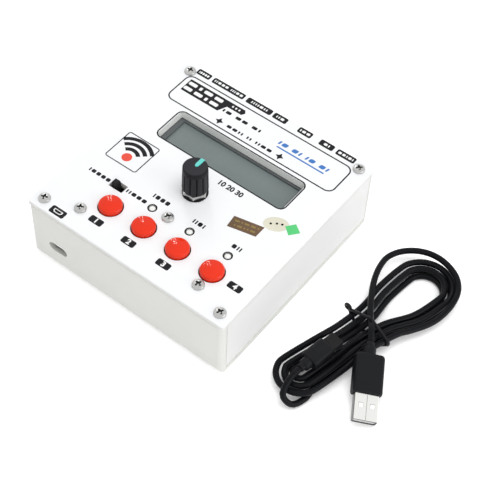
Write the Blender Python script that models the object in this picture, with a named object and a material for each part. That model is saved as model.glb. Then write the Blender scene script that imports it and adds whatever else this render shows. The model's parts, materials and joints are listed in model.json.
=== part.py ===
"""Desktop Morse keyer: a flat bench box with a lifted control panel, and its
detachable USB lead lying beside it in a tied hank.

Everything is in metres, +Z up.  The origin is the middle of the box's
footprint on the bench, +X runs along the front from left to right and +Y
points away from the user.
"""
import math

import bmesh
import bpy
import numpy as np
from mathutils import Matrix, Vector

MM = 0.001

# Enclosure
BODY_WIDTH = 106.0 * MM
BODY_DEPTH = 109.0 * MM
WALL_HEIGHT = 32.5 * MM
PANEL_THICKNESS = 2.0 * MM
WALL = 2.0 * MM
BEND_RADIUS = 3.0 * MM
FRONT_FLANGE = 3.1 * MM
REAR_FLANGE = 3.5 * MM
PANEL_CORNER = 1.6 * MM
PANEL_EDGE_ROUND = 0.3 * MM
SEAT_GAP = 0.3 * MM
SEAM_GAP = 0.25 * MM
FOOT_HEIGHT = 1.2 * MM
FOOT_RADIUS = 4.5 * MM
FOOT_INSET = 12.0 * MM
CORNER_POST_RADIUS = 3.4 * MM
CORNER_INSET_X = 5.5 * MM
CORNER_INSET_Y = 5.2 * MM

# Places from the body's middle as shares of its width and depth
BUTTON_SHARE = -0.21575
BUTTON_PITCH_SHARE = 0.17292
BUTTON_ROW_SHARE = -0.3211
KNOB_ROW_SHARE = -0.05596
SLIDE_SHARE = -0.2632
LAMP_SHARES = (-0.0816, 0.1104, 0.3024)
DISPLAY_ROW_SHARE = 0.16835
PANEL_SCREW_SHARE = 0.3019
MAIN_POST_SHARES = (0.3396, 0.2752)
SOUNDER_SHARES = (0.2264, -0.2018)
FRONT_SLOT_SHARE = -0.3524

# Steps in depth from the buttons' row to the pieces before and behind it
BUTTON_Y = BODY_DEPTH * BUTTON_ROW_SHARE
SCREW_ROW_STEP = 8.9 * MM
SLIDE_ROW_STEP = 10.75 * MM
LAMP_ROW_STEP = 10.6 * MM
MIDDLE_SCREW_STEP = 10.5 * MM

# Screws
SCREW_HEAD_RADIUS = 2.7 * MM
SCREW_HEAD_HEIGHT = 1.5 * MM
SCREW_SHANK_RADIUS = 1.2 * MM
SCREW_HOLE_RADIUS = 1.6 * MM
SCREW_LENGTH = 8.0 * MM
CROSS_LENGTH = 2.7 * MM
CROSS_WIDTH = 0.62 * MM
CROSS_DEPTH = 0.9 * MM
CORNER_SCREW_X = BODY_WIDTH / 2 - CORNER_INSET_X
CORNER_SCREW_Y = BODY_DEPTH / 2 - CORNER_INSET_Y
PANEL_SCREW_X = BODY_WIDTH * PANEL_SCREW_SHARE
PANEL_SCREW_PLACES = (
    (-PANEL_SCREW_X, BUTTON_Y - SCREW_ROW_STEP),
    (PANEL_SCREW_X, BUTTON_Y - SCREW_ROW_STEP),
    (0.0, BUTTON_Y + MIDDLE_SCREW_STEP),
)

# Push buttons
BUTTON_COUNT = 4
BUTTON_FIRST_X = BODY_WIDTH * BUTTON_SHARE
BUTTON_PITCH = BODY_WIDTH * BUTTON_PITCH_SHARE
BUTTON_RADIUS = 5.25 * MM
BUTTON_HOLE_RADIUS = 5.75 * MM
BUTTON_RISE = 2.9 * MM
BUTTON_DOME = 0.5 * MM
BUTTON_EDGE_ROUND = 1.2 * MM
BUTTON_SKIRT = 6.2 * MM
BUTTON_SKIN = 1.2 * MM
PLUNGER_RADIUS = 2.2 * MM
SWITCH_SIDE = 12.0 * MM
SWITCH_HEIGHT = 3.4 * MM
SWITCH_COLLAR_RADIUS = 3.4 * MM
SWITCH_COLLAR_HEIGHT = 0.9 * MM

# Speed knob and its potentiometer
KNOB_X = 0.0
KNOB_Y = BODY_DEPTH * KNOB_ROW_SHARE
KNOB_BASE_RADIUS = 5.8 * MM
KNOB_TOP_RADIUS = 5.5 * MM
KNOB_CLEARANCE = 3.5 * MM
KNOB_HEIGHT = 13.3 * MM
KNOB_GROOVES = 12
KNOB_GROOVE_DEPTH = 0.5 * MM
KNOB_GROOVE_STOP = 2.6 * MM
KNOB_BEVEL = 0.7 * MM
KNOB_RECESS_DEPTH = 2.0 * MM
KNOB_SKIN = 1.0 * MM
POINTER_WIDTH = 1.7 * MM
POINTER_DEPTH = 0.8 * MM
POINTER_DROP = 2.2 * MM
POT_SHAFT_RADIUS = 3.0 * MM
POT_SHAFT_ENGAGED = 9.0 * MM
POT_BUSH_RADIUS = 3.5 * MM
POT_BUSH_RISE = 3.0 * MM
POT_BODY_SIDE = 9.8 * MM
POT_BODY_HEIGHT = 6.4 * MM
POT_NUT_FLATS = 10.0 * MM
POT_NUT_HEIGHT = 2.0 * MM
POT_WASHER_RADIUS = 5.8 * MM
POT_WASHER_HEIGHT = 0.6 * MM

# Slide switch
SLIDE_OPENING_X = BODY_WIDTH * SLIDE_SHARE
SLIDE_OPENING_Y = BUTTON_Y + SLIDE_ROW_STEP
SLIDE_OPENING_LENGTH = 7.35 * MM
SLIDE_OPENING_WIDTH = 4.5 * MM
SLIDE_LEVER_LENGTH = 3.0 * MM
SLIDE_LEVER_WIDTH = 3.1 * MM
SLIDE_LEVER_RISE = 2.4 * MM
SLIDE_TRAVEL = 2.2 * MM
SLIDE_BODY_LENGTH = 12.0 * MM
SLIDE_BODY_WIDTH = 6.4 * MM
SLIDE_BODY_HEIGHT = 5.2 * MM
SLIDE_WELL_DEPTH = 3.0 * MM

# Indicator lamps
LAMP_PLACES = tuple((BODY_WIDTH * share, BUTTON_Y + LAMP_ROW_STEP) for share in LAMP_SHARES)
LAMP_RADIUS = 1.45 * MM
LAMP_HOLE_RADIUS = 1.85 * MM
LAMP_DOME = 0.5 * MM
LAMP_HEIGHT = 5.0 * MM
LAMP_FLANGE_RADIUS = 1.9 * MM
LAMP_FLANGE_HEIGHT = 0.9 * MM
LAMP_LEAD_WIDTH = 0.6 * MM
LAMP_LEAD_PITCH = 1.9 * MM

# Display
DISPLAY_Y = BODY_DEPTH * DISPLAY_ROW_SHARE
WINDOW_LENGTH = 69.4 * MM
WINDOW_WIDTH = 18.3 * MM
WINDOW_CORNER = 0.8 * MM
WINDOW_RIM_DROP = 2.0 * MM
WINDOW_RIM_WALL = 1.6 * MM
BEZEL_LENGTH = 71.2 * MM
BEZEL_WIDTH = 24.2 * MM
VIEW_INSET_X = 3.35 * MM
VIEW_INSET_Y = 4.1 * MM
VIEW_LENGTH = BEZEL_LENGTH - 2 * VIEW_INSET_X
VIEW_WIDTH = BEZEL_WIDTH - 2 * VIEW_INSET_Y
BEZEL_HEIGHT = 6.8 * MM
BEZEL_LIP = 0.6 * MM
DISPLAY_BOARD_LENGTH = 80.0 * MM
DISPLAY_BOARD_WIDTH = 36.0 * MM
DISPLAY_BOLT_X = 37.5 * MM
DISPLAY_BOLT_Y = 15.5 * MM
SPACER_RADIUS = 2.5 * MM
HEADER_LENGTH = 40.6 * MM
HEADER_WIDTH = 2.5 * MM
HEADER_INSET = 7.5 * MM

# Circuit boards
BOARD_THICKNESS = 1.6 * MM
CONTROL_DROP = 7.1 * MM
CONTROL_SIDE_INSET = 10.0 * MM
CONTROL_FRONT_INSET = 4.0 * MM
CONTROL_PAST_KNOB = 5.5 * MM
CONTROL_LENGTH = BODY_WIDTH - 2 * CONTROL_SIDE_INSET
CONTROL_FRONT_Y = CONTROL_FRONT_INSET - BODY_DEPTH / 2
CONTROL_REAR_Y = KNOB_Y + CONTROL_PAST_KNOB
CONTROL_CORNER = 2.0 * MM
MAIN_TOP = 10.4 * MM
MAIN_SIDE_INSET = 9.5 * MM
MAIN_LENGTH = BODY_WIDTH - 2 * MAIN_SIDE_INSET
MAIN_CLEARANCE = 1.2 * MM
MAIN_POST_RADIUS = 3.0 * MM
MAIN_POST_X = BODY_WIDTH * MAIN_POST_SHARES[0]
MAIN_POST_Y = BODY_DEPTH * MAIN_POST_SHARES[1]
CHIP_SIDE = 10.0 * MM
CHIP_HEIGHT = 1.4 * MM
SOUNDER_RADIUS = 6.0 * MM
SOUNDER_HEIGHT = 8.0 * MM
SOUNDER_PORT_RADIUS = 1.0 * MM
SOUNDER_X = BODY_WIDTH * SOUNDER_SHARES[0]
SOUNDER_Y = BODY_DEPTH * SOUNDER_SHARES[1]

# Sockets
FRONT_SLOT_X = BODY_WIDTH * FRONT_SLOT_SHARE
FRONT_SLOT_LENGTH = 10.3 * MM
FRONT_SLOT_HEIGHT = 4.8 * MM
SOCKET_AXIS_RISE = 2.1 * MM
MINI_WIDTH = 7.7 * MM
MINI_HEIGHT = 4.0 * MM
MINI_DEPTH = 9.0 * MM
MINI_SKIN = 0.45 * MM
MINI_TONGUE = 1.1 * MM
HOST_WIDTH = 13.1 * MM
HOST_HEIGHT = 5.8 * MM
HOST_DEPTH = 14.0 * MM
HOST_SKIN = 0.5 * MM
HOST_TONGUE = 1.8 * MM
SOCKET_SLOT_MARGIN = 0.5 * MM
JACK_COUNT = 5
JACK_WIDTH = 8.0 * MM
JACK_HEIGHT = 7.0 * MM
JACK_DEPTH = 9.5 * MM
JACK_NOSE_RADIUS = 3.0 * MM
JACK_NOSE_LENGTH = 2.2 * MM
JACK_BORE_RADIUS = 1.8 * MM
JACK_BORE_DEPTH = 8.5 * MM
JACK_HOLE_MARGIN = 0.5 * MM
REAR_WIDTHS = (MINI_WIDTH, HOST_WIDTH) + (JACK_WIDTH,) * JACK_COUNT
REAR_REACH = CORNER_SCREW_X - CORNER_POST_RADIUS
REAR_FREE = 2 * REAR_REACH - sum(REAR_WIDTHS)
REAR_GAP_SHARES = (0.0164, 0.104, 0.3613, 0.5036, 0.7153, 0.8577, 0.9489)
REAR_PLACES_X = tuple(
    REAR_FREE * share + sum(REAR_WIDTHS[:i]) + REAR_WIDTHS[i] / 2 - REAR_REACH
    for i, share in enumerate(REAR_GAP_SHARES)
)
REAR_MINI_X, HOST_X = REAR_PLACES_X[:2]
JACK_PLACES_X = REAR_PLACES_X[2:]

# USB lead: cable, hank, tie and plugs
CABLE_DIAMETER = 2.8 * MM
HANK_X = 85.0 * MM
HANK_Y = 2.0 * MM
HANK_ANGLE = -9.6
HANK_LOOPS = 4
HANK_FOLD_POINTS = 7
HANK_RUN_POINTS = 5
HANK_STEP = 3.6 * MM
HANK_LIFT = 3.4 * MM
HANK_NEAR_RADIUS = 9.5 * MM
HANK_FAR_RADIUS = 14.4 * MM
HANK_NEAR_CENTRE = -37.3 * MM
HANK_FAR_CENTRE = 34.8 * MM
HANK_LEAN = 4.8 * MM
HANK_WAIST_DRAW = 3.7 * MM
HANK_WAIST_NEAR_REACH = 40.0 * MM
HANK_WAIST_FAR_REACH = 22.0 * MM
HANK_WAIST_RISE = 1.9 * MM
# Across the hank, along it and above the bench, from the small plug to the
# first loop, and from the last loop to the large plug
START_ROUTE = (
    (1.8 * MM, -44.6 * MM, 10.0 * MM),
    (3.2 * MM, -49.6 * MM, 8.0 * MM),
    (5.4 * MM, -51.6 * MM, 5.0 * MM),
    (8.0 * MM, -49.6 * MM, 2.5 * MM),
    (9.4 * MM, -45.0 * MM, 1.55 * MM),
    (9.3 * MM, -40.4 * MM, 1.42 * MM),
)
END_ROUTE = (
    (20.9 * MM, 29.0 * MM, 5.7 * MM),
    (20.0 * MM, 37.0 * MM, 7.2 * MM),
    (16.2 * MM, 44.2 * MM, 8.0 * MM),
    (9.6 * MM, 48.2 * MM, 8.2 * MM),
    (1.0 * MM, 49.5 * MM, 7.9 * MM),
    (-7.4 * MM, 47.6 * MM, 6.8 * MM),
    (-13.8 * MM, 41.8 * MM, 6.2 * MM),
    (-16.2 * MM, 34.0 * MM, 6.5 * MM),
    (-14.3 * MM, 26.2 * MM, 7.7 * MM),
    (-10.6 * MM, 18.8 * MM, 9.0 * MM),
    (-5.6 * MM, 11.6 * MM, 10.0 * MM),
    (-0.2 * MM, 5.2 * MM, 10.4 * MM),
    (4.4 * MM, 0.4 * MM, 10.7 * MM),
)
CABLE_SPACING = 6.5 * MM
TIE_DIAMETER = 1.4 * MM
TIE_EAR = 1.6 * MM
PLUG_A_X = 95.6 * MM
PLUG_A_Y = -7.7 * MM
PLUG_A_RISE = 11.6 * MM
PLUG_A_ANGLE = -59.0
PLUG_A_TILT = 13.2
PLUG_A_ROLL = -14.0
RELIEF_LENGTH = 6.0 * MM
RELIEF_RADIUS = 2.7 * MM
RELIEF_NECK_RADIUS = 1.8 * MM
PLUG_A_WIDTH = 12.8 * MM
PLUG_A_HEIGHT = 6.6 * MM
PLUG_A_LENGTH = 17.4 * MM
PLUG_A_ROUND = 1.6 * MM
SHELL_A_WIDTH = 10.6 * MM
SHELL_A_HEIGHT = 4.0 * MM
SHELL_A_LENGTH = 11.4 * MM
SHELL_A_SKIN = 0.45 * MM
PLUG_MINI_ACROSS = 1.2 * MM
PLUG_MINI_ALONG = -38.6 * MM
PLUG_MINI_RISE = 10.4 * MM
PLUG_MINI_WIDTH = 8.6 * MM
PLUG_MINI_HEIGHT = 5.8 * MM
PLUG_MINI_LENGTH = 11.0 * MM
PLUG_MINI_RELIEF = 5.0 * MM
SHELL_MINI_LENGTH = 6.0 * MM
SHELL_MINI_WIDTH = 6.8 * MM
SHELL_MINI_HEIGHT = 3.1 * MM
SHELL_MINI_SKIN = 0.4 * MM

# Faces round a full turn on small, middling and large round pieces
FINE_COUNT = 12
ROUND_COUNT = 24

# Shares of the sizes above
MOST_ROUND_SHARE = 0.49
HEAD_SHARES = (0.0, 0.45, 0.8)
HEAD_RIM_SHARE = 0.35
PAN_FLAT_SHARE = 0.8
FLANGE_SHARE = 0.75
DOME_SHARES = (0.66, 0.33)
NUT_EDGE_SHARE = 0.7
PORT_SLANT_SHARE = 0.28
TONGUE_SHARE = 0.02
TONGUE_THICK_SHARE = 0.45
TIE_SHARES = (0.6, 0.28, 0.62)
EAR_START_SHARE = 0.35
EAR_TURN_SHARE = 1.35
EAR_OUT_SHARE = 0.8
RELIEF_STEP_SHARES = (0.04, 0.36, 0.4, 0.46, 0.97)
GRIP_END_SHARES = (0.62, 0.9, 0.93)
GRIP_ALONG_SHARES = (0.05, 0.13, 0.95)

# Heights and places that follow from the sizes above
FLOOR_TOP = FOOT_HEIGHT + WALL
PANEL_BOTTOM = FOOT_HEIGHT + WALL_HEIGHT
PANEL_TOP = PANEL_BOTTOM + PANEL_THICKNESS
CONTROL_TOP = PANEL_BOTTOM - CONTROL_DROP
MAIN_BOARD_TOP = FOOT_HEIGHT + MAIN_TOP
MAIN_BOARD_BOTTOM = MAIN_BOARD_TOP - BOARD_THICKNESS
BEZEL_TOP = PANEL_BOTTOM - WINDOW_RIM_DROP - SEAT_GAP
DISPLAY_BOARD_TOP = BEZEL_TOP - BEZEL_HEIGHT - SEAT_GAP
HEAD_GAP = SEAT_GAP / 3
INLAY_GAP = SEAT_GAP / 3
RUN_CLEARANCE = SEAT_GAP / 4
KNOB_BOTTOM = PANEL_TOP + KNOB_CLEARANCE
KNOB_TOP = KNOB_BOTTOM + KNOB_HEIGHT
WALL_INSIDE_Y = BODY_DEPTH / 2 - WALL
SOCKET_FACE_Y = WALL_INSIDE_Y - SEAT_GAP
PORT_AXIS = MAIN_BOARD_TOP + SOCKET_AXIS_RISE
PAST = WALL
BUTTON_PLACES = tuple(
    (BUTTON_FIRST_X + BUTTON_PITCH * i, BUTTON_Y) for i in range(BUTTON_COUNT)
)


def start_scene():
    """Clears the scene and makes the collections of the solids and the cutters."""
    for obj in list(bpy.data.objects):
        bpy.data.objects.remove(obj, do_unlink=True)
    for name in ("morse_keyer", "morse_keyer_cutters"):
        made = bpy.data.collections.new(name)
        bpy.context.scene.collection.children.link(made)


def material(name, colour, roughness, metallic=0.0):
    """A plain Principled material, made once for each name."""
    found = bpy.data.materials.get(name)
    if found:
        return found
    made = bpy.data.materials.new(name)
    made.use_nodes = True
    shader = made.node_tree.nodes["Principled BSDF"]
    shader.inputs["Base Color"].default_value = (*colour, 1.0)
    shader.inputs["Roughness"].default_value = roughness
    shader.inputs["Metallic"].default_value = metallic
    made.diffuse_color = (*colour, 1.0)
    return made


def white_coat():
    return material("white_coat", (0.84, 0.84, 0.82), 0.42)


def grey_coat():
    return material("grey_coat", (0.74, 0.74, 0.71), 0.45)


def chrome():
    return material("chrome", (0.78, 0.78, 0.78), 0.16, 1.0)


def brass():
    return material("brass", (0.72, 0.56, 0.27), 0.3, 1.0)


def red_plastic():
    return material("red_plastic", (0.85, 0.06, 0.02), 0.24)


def black_plastic():
    return material("black_plastic", (0.02, 0.02, 0.022), 0.42)


def black_rubber():
    return material("black_rubber", (0.025, 0.025, 0.027), 0.6)


def board_green():
    return material("board_green", (0.03, 0.17, 0.09), 0.4)


def socket_steel():
    return material("socket_steel", (0.62, 0.62, 0.6), 0.3, 1.0)


def link(obj, collection="morse_keyer"):
    bpy.data.collections[collection].objects.link(obj)
    return obj


def as_cutter(obj):
    """Moves a helper to the cutters' collection, out of the render."""
    for held in list(obj.users_collection):
        held.objects.unlink(obj)
    link(obj, "morse_keyer_cutters")
    obj.hide_render = True
    obj.display_type = "WIRE"
    return obj


def solid(name, rings, look):
    """A closed solid skinned over rings of points; a ring of one point is a tip."""
    mesh = bmesh.new()
    loops = [[mesh.verts.new(point) for point in ring] for ring in rings]
    for low, high in zip(loops, loops[1:]):
        count = max(len(low), len(high))
        for i in range(count):
            j = (i + 1) % count
            if len(low) == 1:
                mesh.faces.new((low[0], high[j], high[i]))
            elif len(high) == 1:
                mesh.faces.new((low[i], low[j], high[0]))
            else:
                mesh.faces.new((low[i], low[j], high[j], high[i]))
    if len(loops[0]) > 1:
        mesh.faces.new(loops[0][::-1])
    if len(loops[-1]) > 1:
        mesh.faces.new(loops[-1])
    bmesh.ops.recalc_face_normals(mesh, faces=mesh.faces)
    data = bpy.data.meshes.new(name)
    mesh.to_mesh(data)
    mesh.free()
    obj = link(bpy.data.objects.new(name, data))
    obj.data.materials.append(look)
    return obj


def circle(radius, height, count, centre=(0.0, 0.0)):
    """A ring of points round the Z axis."""
    turn = 2 * math.pi / count
    return [
        Vector((
            centre[0] + radius * math.cos(turn * i),
            centre[1] + radius * math.sin(turn * i),
            height,
        ))
        for i in range(count)
    ]


def rounded(length, width, radius, height, steps=3, centre=(0.0, 0.0)):
    """A ring of points round a rectangle with round corners."""
    points = []
    for k, (sx, sy) in enumerate(((1, 1), (-1, 1), (-1, -1), (1, -1))):
        for i in range(steps + 1):
            angle = math.pi / 2 * (k + i / steps)
            points.append(Vector((
                centre[0] + sx * (length / 2 - radius) + radius * math.cos(angle),
                centre[1] + sy * (width / 2 - radius) + radius * math.sin(angle),
                height,
            )))
    return points


def turned(name, profile, count, look):
    """A solid of revolution about Z, from (radius, height) pairs, base to top."""
    rings = []
    for radius, height in profile:
        if radius:
            rings.append(circle(radius, height, count))
        else:
            rings.append([Vector((0.0, 0.0, height))])
    return solid(name, rings, look)


def rod(name, radius, low, high, count, look, centre=(0.0, 0.0)):
    rings = [circle(radius, low, count, centre), circle(radius, high, count, centre)]
    return solid(name, rings, look)


def plate(name, length, width, radius, low, high, look, centre=(0.0, 0.0), steps=3):
    rings = [rounded(length, width, radius, z, steps, centre) for z in (low, high)]
    return solid(name, rings, look)


def block(name, low, high, look):
    """A box between two opposite corners."""
    rings = [
        [
            Vector((low[0], low[1], z)),
            Vector((high[0], low[1], z)),
            Vector((high[0], high[1], z)),
            Vector((low[0], high[1], z)),
        ]
        for z in (low[2], high[2])
    ]
    return solid(name, rings, look)


def moved(obj, place=(0.0, 0.0, 0.0), turn=0.0, about="Z"):
    """Moves the mesh itself, so that the object stays untransformed."""
    spin = Matrix.Rotation(turn, 4, about)
    obj.data.transform(Matrix.Translation(Vector(place)) @ spin)
    return obj


def boolean(obj, other, operation):
    as_cutter(other)
    made = obj.modifiers.new(operation.lower(), "BOOLEAN")
    made.operation = operation
    made.solver = "EXACT"
    made.object = other
    return obj


def cut(obj, *others):
    for other in others:
        boolean(obj, other, "DIFFERENCE")
    return obj


def add(obj, *others):
    for other in others:
        boolean(obj, other, "UNION")
    return obj


def settled(obj):
    """Applies the modifiers, so that copies can share the finished mesh."""
    bpy.context.view_layer.update()
    graph = bpy.context.evaluated_depsgraph_get()
    made = bpy.data.meshes.new_from_object(obj.evaluated_get(graph))
    obj.modifiers.clear()
    obj.data = made
    return obj


def smooth(obj, angle=35.0):
    obj.data.shade_smooth()
    obj.data.set_sharp_from_angle(angle=math.radians(angle))
    return obj


def copies(first, stem, places, height):
    """Names the first piece stem_1 and puts the others beside it, at the places."""
    first.name = f"{stem}_1"
    pieces = [first]
    for i in range(1, len(places)):
        pieces.append(link(bpy.data.objects.new(f"{stem}_{i + 1}", first.data)))
    for piece, (x, y) in zip(pieces, places):
        piece.location = (x, y, height)
    return pieces


def u_outline(x, depth, bottom, top, radius, steps=4):
    """A ring across the box at x: open-top wall section with round lower bends."""
    ring = [Vector((x, depth / 2, top)), Vector((x, -depth / 2, top))]
    for side, start in ((-1, math.pi), (1, 3 * math.pi / 2)):
        for i in range(steps + 1):
            angle = start + math.pi / 2 * i / steps
            ring.append(Vector((
                x,
                side * (depth / 2 - radius) + radius * math.cos(angle),
                bottom + radius + radius * math.sin(angle),
            )))
    return ring


def trough(name, width, depth, bottom, top, radius, look):
    """A block with round lower front and rear edges and round upright corners."""
    rings = [u_outline(x, depth, bottom, top, radius) for x in (-width / 2, width / 2)]
    body = solid(name, rings, look)
    plan = plate(f"{name}_plan", width, depth, radius, bottom - PAST, top + PAST, look, steps=4)
    return boolean(body, plan, "INTERSECT")


def screw_post(name, place, radius, top, look):
    """An upright post on the floor, sunk a little into it."""
    return rod(name, radius, FOOT_HEIGHT + WALL / 2, top, ROUND_COUNT, look, place)


def wall_port(name, x, width, height, side, corner):
    """A cutter through the front (side -1) or rear (side 1) wall at the ports' height."""
    port = plate(name, width, height, corner, -WALL, WALL, white_coat())
    moved(port, turn=math.pi / 2, about="X")
    return moved(port, (x, side * (BODY_DEPTH / 2 - WALL / 2), PORT_AXIS))


def jack_axis_height():
    return MAIN_BOARD_TOP + HEAD_GAP + JACK_HEIGHT / 2


def host_axis_height():
    return MAIN_BOARD_TOP + HEAD_GAP + HOST_HEIGHT / 2


def make_base_tray():
    """Floor, front and rear walls in one, with round bends and corner posts."""
    look = white_coat()
    top = PANEL_BOTTOM - SEAM_GAP
    tray = trough("base_tray", BODY_WIDTH, BODY_DEPTH, FOOT_HEIGHT, top, BEND_RADIUS, look)
    room = trough(
        "tray_room", BODY_WIDTH - 2 * WALL, BODY_DEPTH - 2 * WALL,
        FLOOR_TOP, top + PAST, BEND_RADIUS - WALL, look,
    )
    cut(tray, room)
    for side in (-1, 1):
        near, far = sorted((side * (BODY_WIDTH / 2 - WALL), side * (BODY_WIDTH / 2 + PAST)))
        low = (near, FRONT_FLANGE - BODY_DEPTH / 2, FLOOR_TOP)
        high = (far, BODY_DEPTH / 2 - REAR_FLANGE, top + PAST)
        cut(tray, block("side_gap", low, high, look))
    for sx in (-1, 1):
        for sy in (-1, 1):
            corner = (sx * CORNER_SCREW_X, sy * CORNER_SCREW_Y)
            add(tray, screw_post("corner_post", corner, CORNER_POST_RADIUS, top, look))
            hole = rod(
                "corner_post_hole", SCREW_HOLE_RADIUS, PANEL_TOP - SCREW_LENGTH - PAST,
                top + PAST, FINE_COUNT, look, corner,
            )
            cut(tray, hole)
            place = (sx * MAIN_POST_X, sy * MAIN_POST_Y)
            rest = MAIN_BOARD_BOTTOM - SEAT_GAP
            add(tray, screw_post("board_post", place, MAIN_POST_RADIUS, rest, look))
    cut(
        tray,
        wall_port("front_slot", FRONT_SLOT_X, FRONT_SLOT_LENGTH, FRONT_SLOT_HEIGHT, -1,
                  FRONT_SLOT_HEIGHT * MOST_ROUND_SHARE),
        wall_port("rear_slot", REAR_MINI_X, FRONT_SLOT_LENGTH, FRONT_SLOT_HEIGHT, 1,
                  FRONT_SLOT_HEIGHT * MOST_ROUND_SHARE),
    )
    host = plate(
        "host_slot", HOST_WIDTH + 2 * SOCKET_SLOT_MARGIN, HOST_HEIGHT + 2 * SOCKET_SLOT_MARGIN,
        SOCKET_SLOT_MARGIN, -WALL, WALL, look,
    )
    moved(host, turn=math.pi / 2, about="X")
    moved(host, (HOST_X, BODY_DEPTH / 2 - WALL / 2, host_axis_height()))
    cut(tray, host)
    for x in JACK_PLACES_X:
        hole = rod("jack_hole", JACK_NOSE_RADIUS + JACK_HOLE_MARGIN, -WALL, WALL, ROUND_COUNT, look)
        moved(hole, turn=math.pi / 2, about="X")
        moved(hole, (x, BODY_DEPTH / 2 - WALL / 2, jack_axis_height()))
        cut(tray, hole)
    return smooth(settled(tray))


def make_side_panels():
    """Flat side walls with a folded foot that lies on the floor of the tray."""
    bottom = FLOOR_TOP + SEAM_GAP
    top = PANEL_BOTTOM - SEAM_GAP
    outer = BODY_WIDTH / 2
    fold = WALL
    ends = (FRONT_FLANGE - BODY_DEPTH / 2 + SEAM_GAP, BODY_DEPTH / 2 - REAR_FLANGE - SEAM_GAP)
    for side, name in ((-1, "left_side_panel"), (1, "right_side_panel")):
        section = [
            (outer, top), (outer - WALL + SEAM_GAP, top),
            (outer - WALL + SEAM_GAP, bottom + WALL / 2), (outer - 4 * WALL, bottom + WALL / 2),
            (outer - 4 * WALL, bottom),
        ]
        for i in range(4):
            angle = math.pi / 2 * (1 - i / 3)
            section.append((
                outer - fold / 2 + fold / 2 * math.cos(angle),
                bottom + fold / 2 - fold / 2 * math.sin(angle),
            ))
        rings = [[Vector((side * x, y, z)) for x, z in section] for y in ends]
        panel = solid(name, rings, grey_coat())
        near, far = sorted((side * (outer - WALL + SEAM_GAP), side * (outer - 5 * WALL)))
        notch = CORNER_SCREW_Y - CORNER_POST_RADIUS - 2 * SEAT_GAP
        for start, end in ((-BODY_DEPTH / 2, -notch), (notch, BODY_DEPTH / 2)):
            low, high = (near, start, bottom - PAST), (far, end, bottom + PAST)
            cut(panel, block("foot_notch", low, high, grey_coat()))
        smooth(settled(panel))


def panel_cutters(look):
    """Every hole through the control panel."""
    low, high = PANEL_BOTTOM - 2 * PAST, PANEL_TOP + PAST
    window = (WINDOW_LENGTH, WINDOW_WIDTH, WINDOW_CORNER)
    cutters = [plate("window_cut", *window, low, high, look, (0.0, DISPLAY_Y))]
    for x, y in BUTTON_PLACES:
        cutters.append(rod("button_hole", BUTTON_HOLE_RADIUS, low, high, ROUND_COUNT, look, (x, y)))
    for x, y in LAMP_PLACES:
        cutters.append(rod("lamp_hole", LAMP_HOLE_RADIUS, low, high, ROUND_COUNT, look, (x, y)))
    screws = list(PANEL_SCREW_PLACES)
    for sx in (-1, 1):
        screws += [(sx * CORNER_SCREW_X, sy * CORNER_SCREW_Y) for sy in (-1, 1)]
    for place in screws:
        cutters.append(rod("screw_hole", SCREW_HOLE_RADIUS, low, high, FINE_COUNT, look, place))
    bush = POT_BUSH_RADIUS + SEAT_GAP
    cutters.append(rod("bush_hole", bush, low, high, ROUND_COUNT, look, (KNOB_X, KNOB_Y)))
    cutters.append(plate(
        "slide_opening", SLIDE_OPENING_LENGTH, SLIDE_OPENING_WIDTH, PANEL_EDGE_ROUND,
        low, high, look, (SLIDE_OPENING_X, SLIDE_OPENING_Y),
    ))
    return cutters


def make_top_panel():
    """Control panel: eased upper edge, a rim round the window, and its holes."""
    look = white_coat()
    inset = 2 * PANEL_EDGE_ROUND
    rings = [
        rounded(BODY_WIDTH, BODY_DEPTH, PANEL_CORNER, PANEL_BOTTOM, 5),
        rounded(BODY_WIDTH, BODY_DEPTH, PANEL_CORNER, PANEL_TOP - PANEL_EDGE_ROUND, 5),
        rounded(
            BODY_WIDTH - inset, BODY_DEPTH - inset, PANEL_CORNER - PANEL_EDGE_ROUND, PANEL_TOP, 5
        ),
    ]
    panel = solid("top_panel", rings, look)
    rim = plate(
        "window_rim", WINDOW_LENGTH + 2 * WINDOW_RIM_WALL, WINDOW_WIDTH + 2 * WINDOW_RIM_WALL,
        WINDOW_CORNER + WINDOW_RIM_WALL, PANEL_BOTTOM - WINDOW_RIM_DROP,
        PANEL_BOTTOM + PANEL_THICKNESS / 2, look, (0.0, DISPLAY_Y),
    )
    add(panel, rim)
    cut(panel, *panel_cutters(look))
    return smooth(settled(panel), 25.0)


def make_feet():
    edge = FOOT_HEIGHT / 3
    profile = [
        (0.0, 0.0), (FOOT_RADIUS - edge, 0.0), (FOOT_RADIUS, edge),
        (FOOT_RADIUS, FOOT_HEIGHT - HEAD_GAP), (0.0, FOOT_HEIGHT - HEAD_GAP),
    ]
    foot = smooth(turned("foot", profile, ROUND_COUNT, black_rubber()))
    reach_x, reach_y = BODY_WIDTH / 2 - FOOT_INSET, BODY_DEPTH / 2 - FOOT_INSET
    places = [(sx * reach_x, sy * reach_y) for sy in (-1, 1) for sx in (-1, 1)]
    copies(foot, "rubber_foot", places, 0.0)


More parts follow.
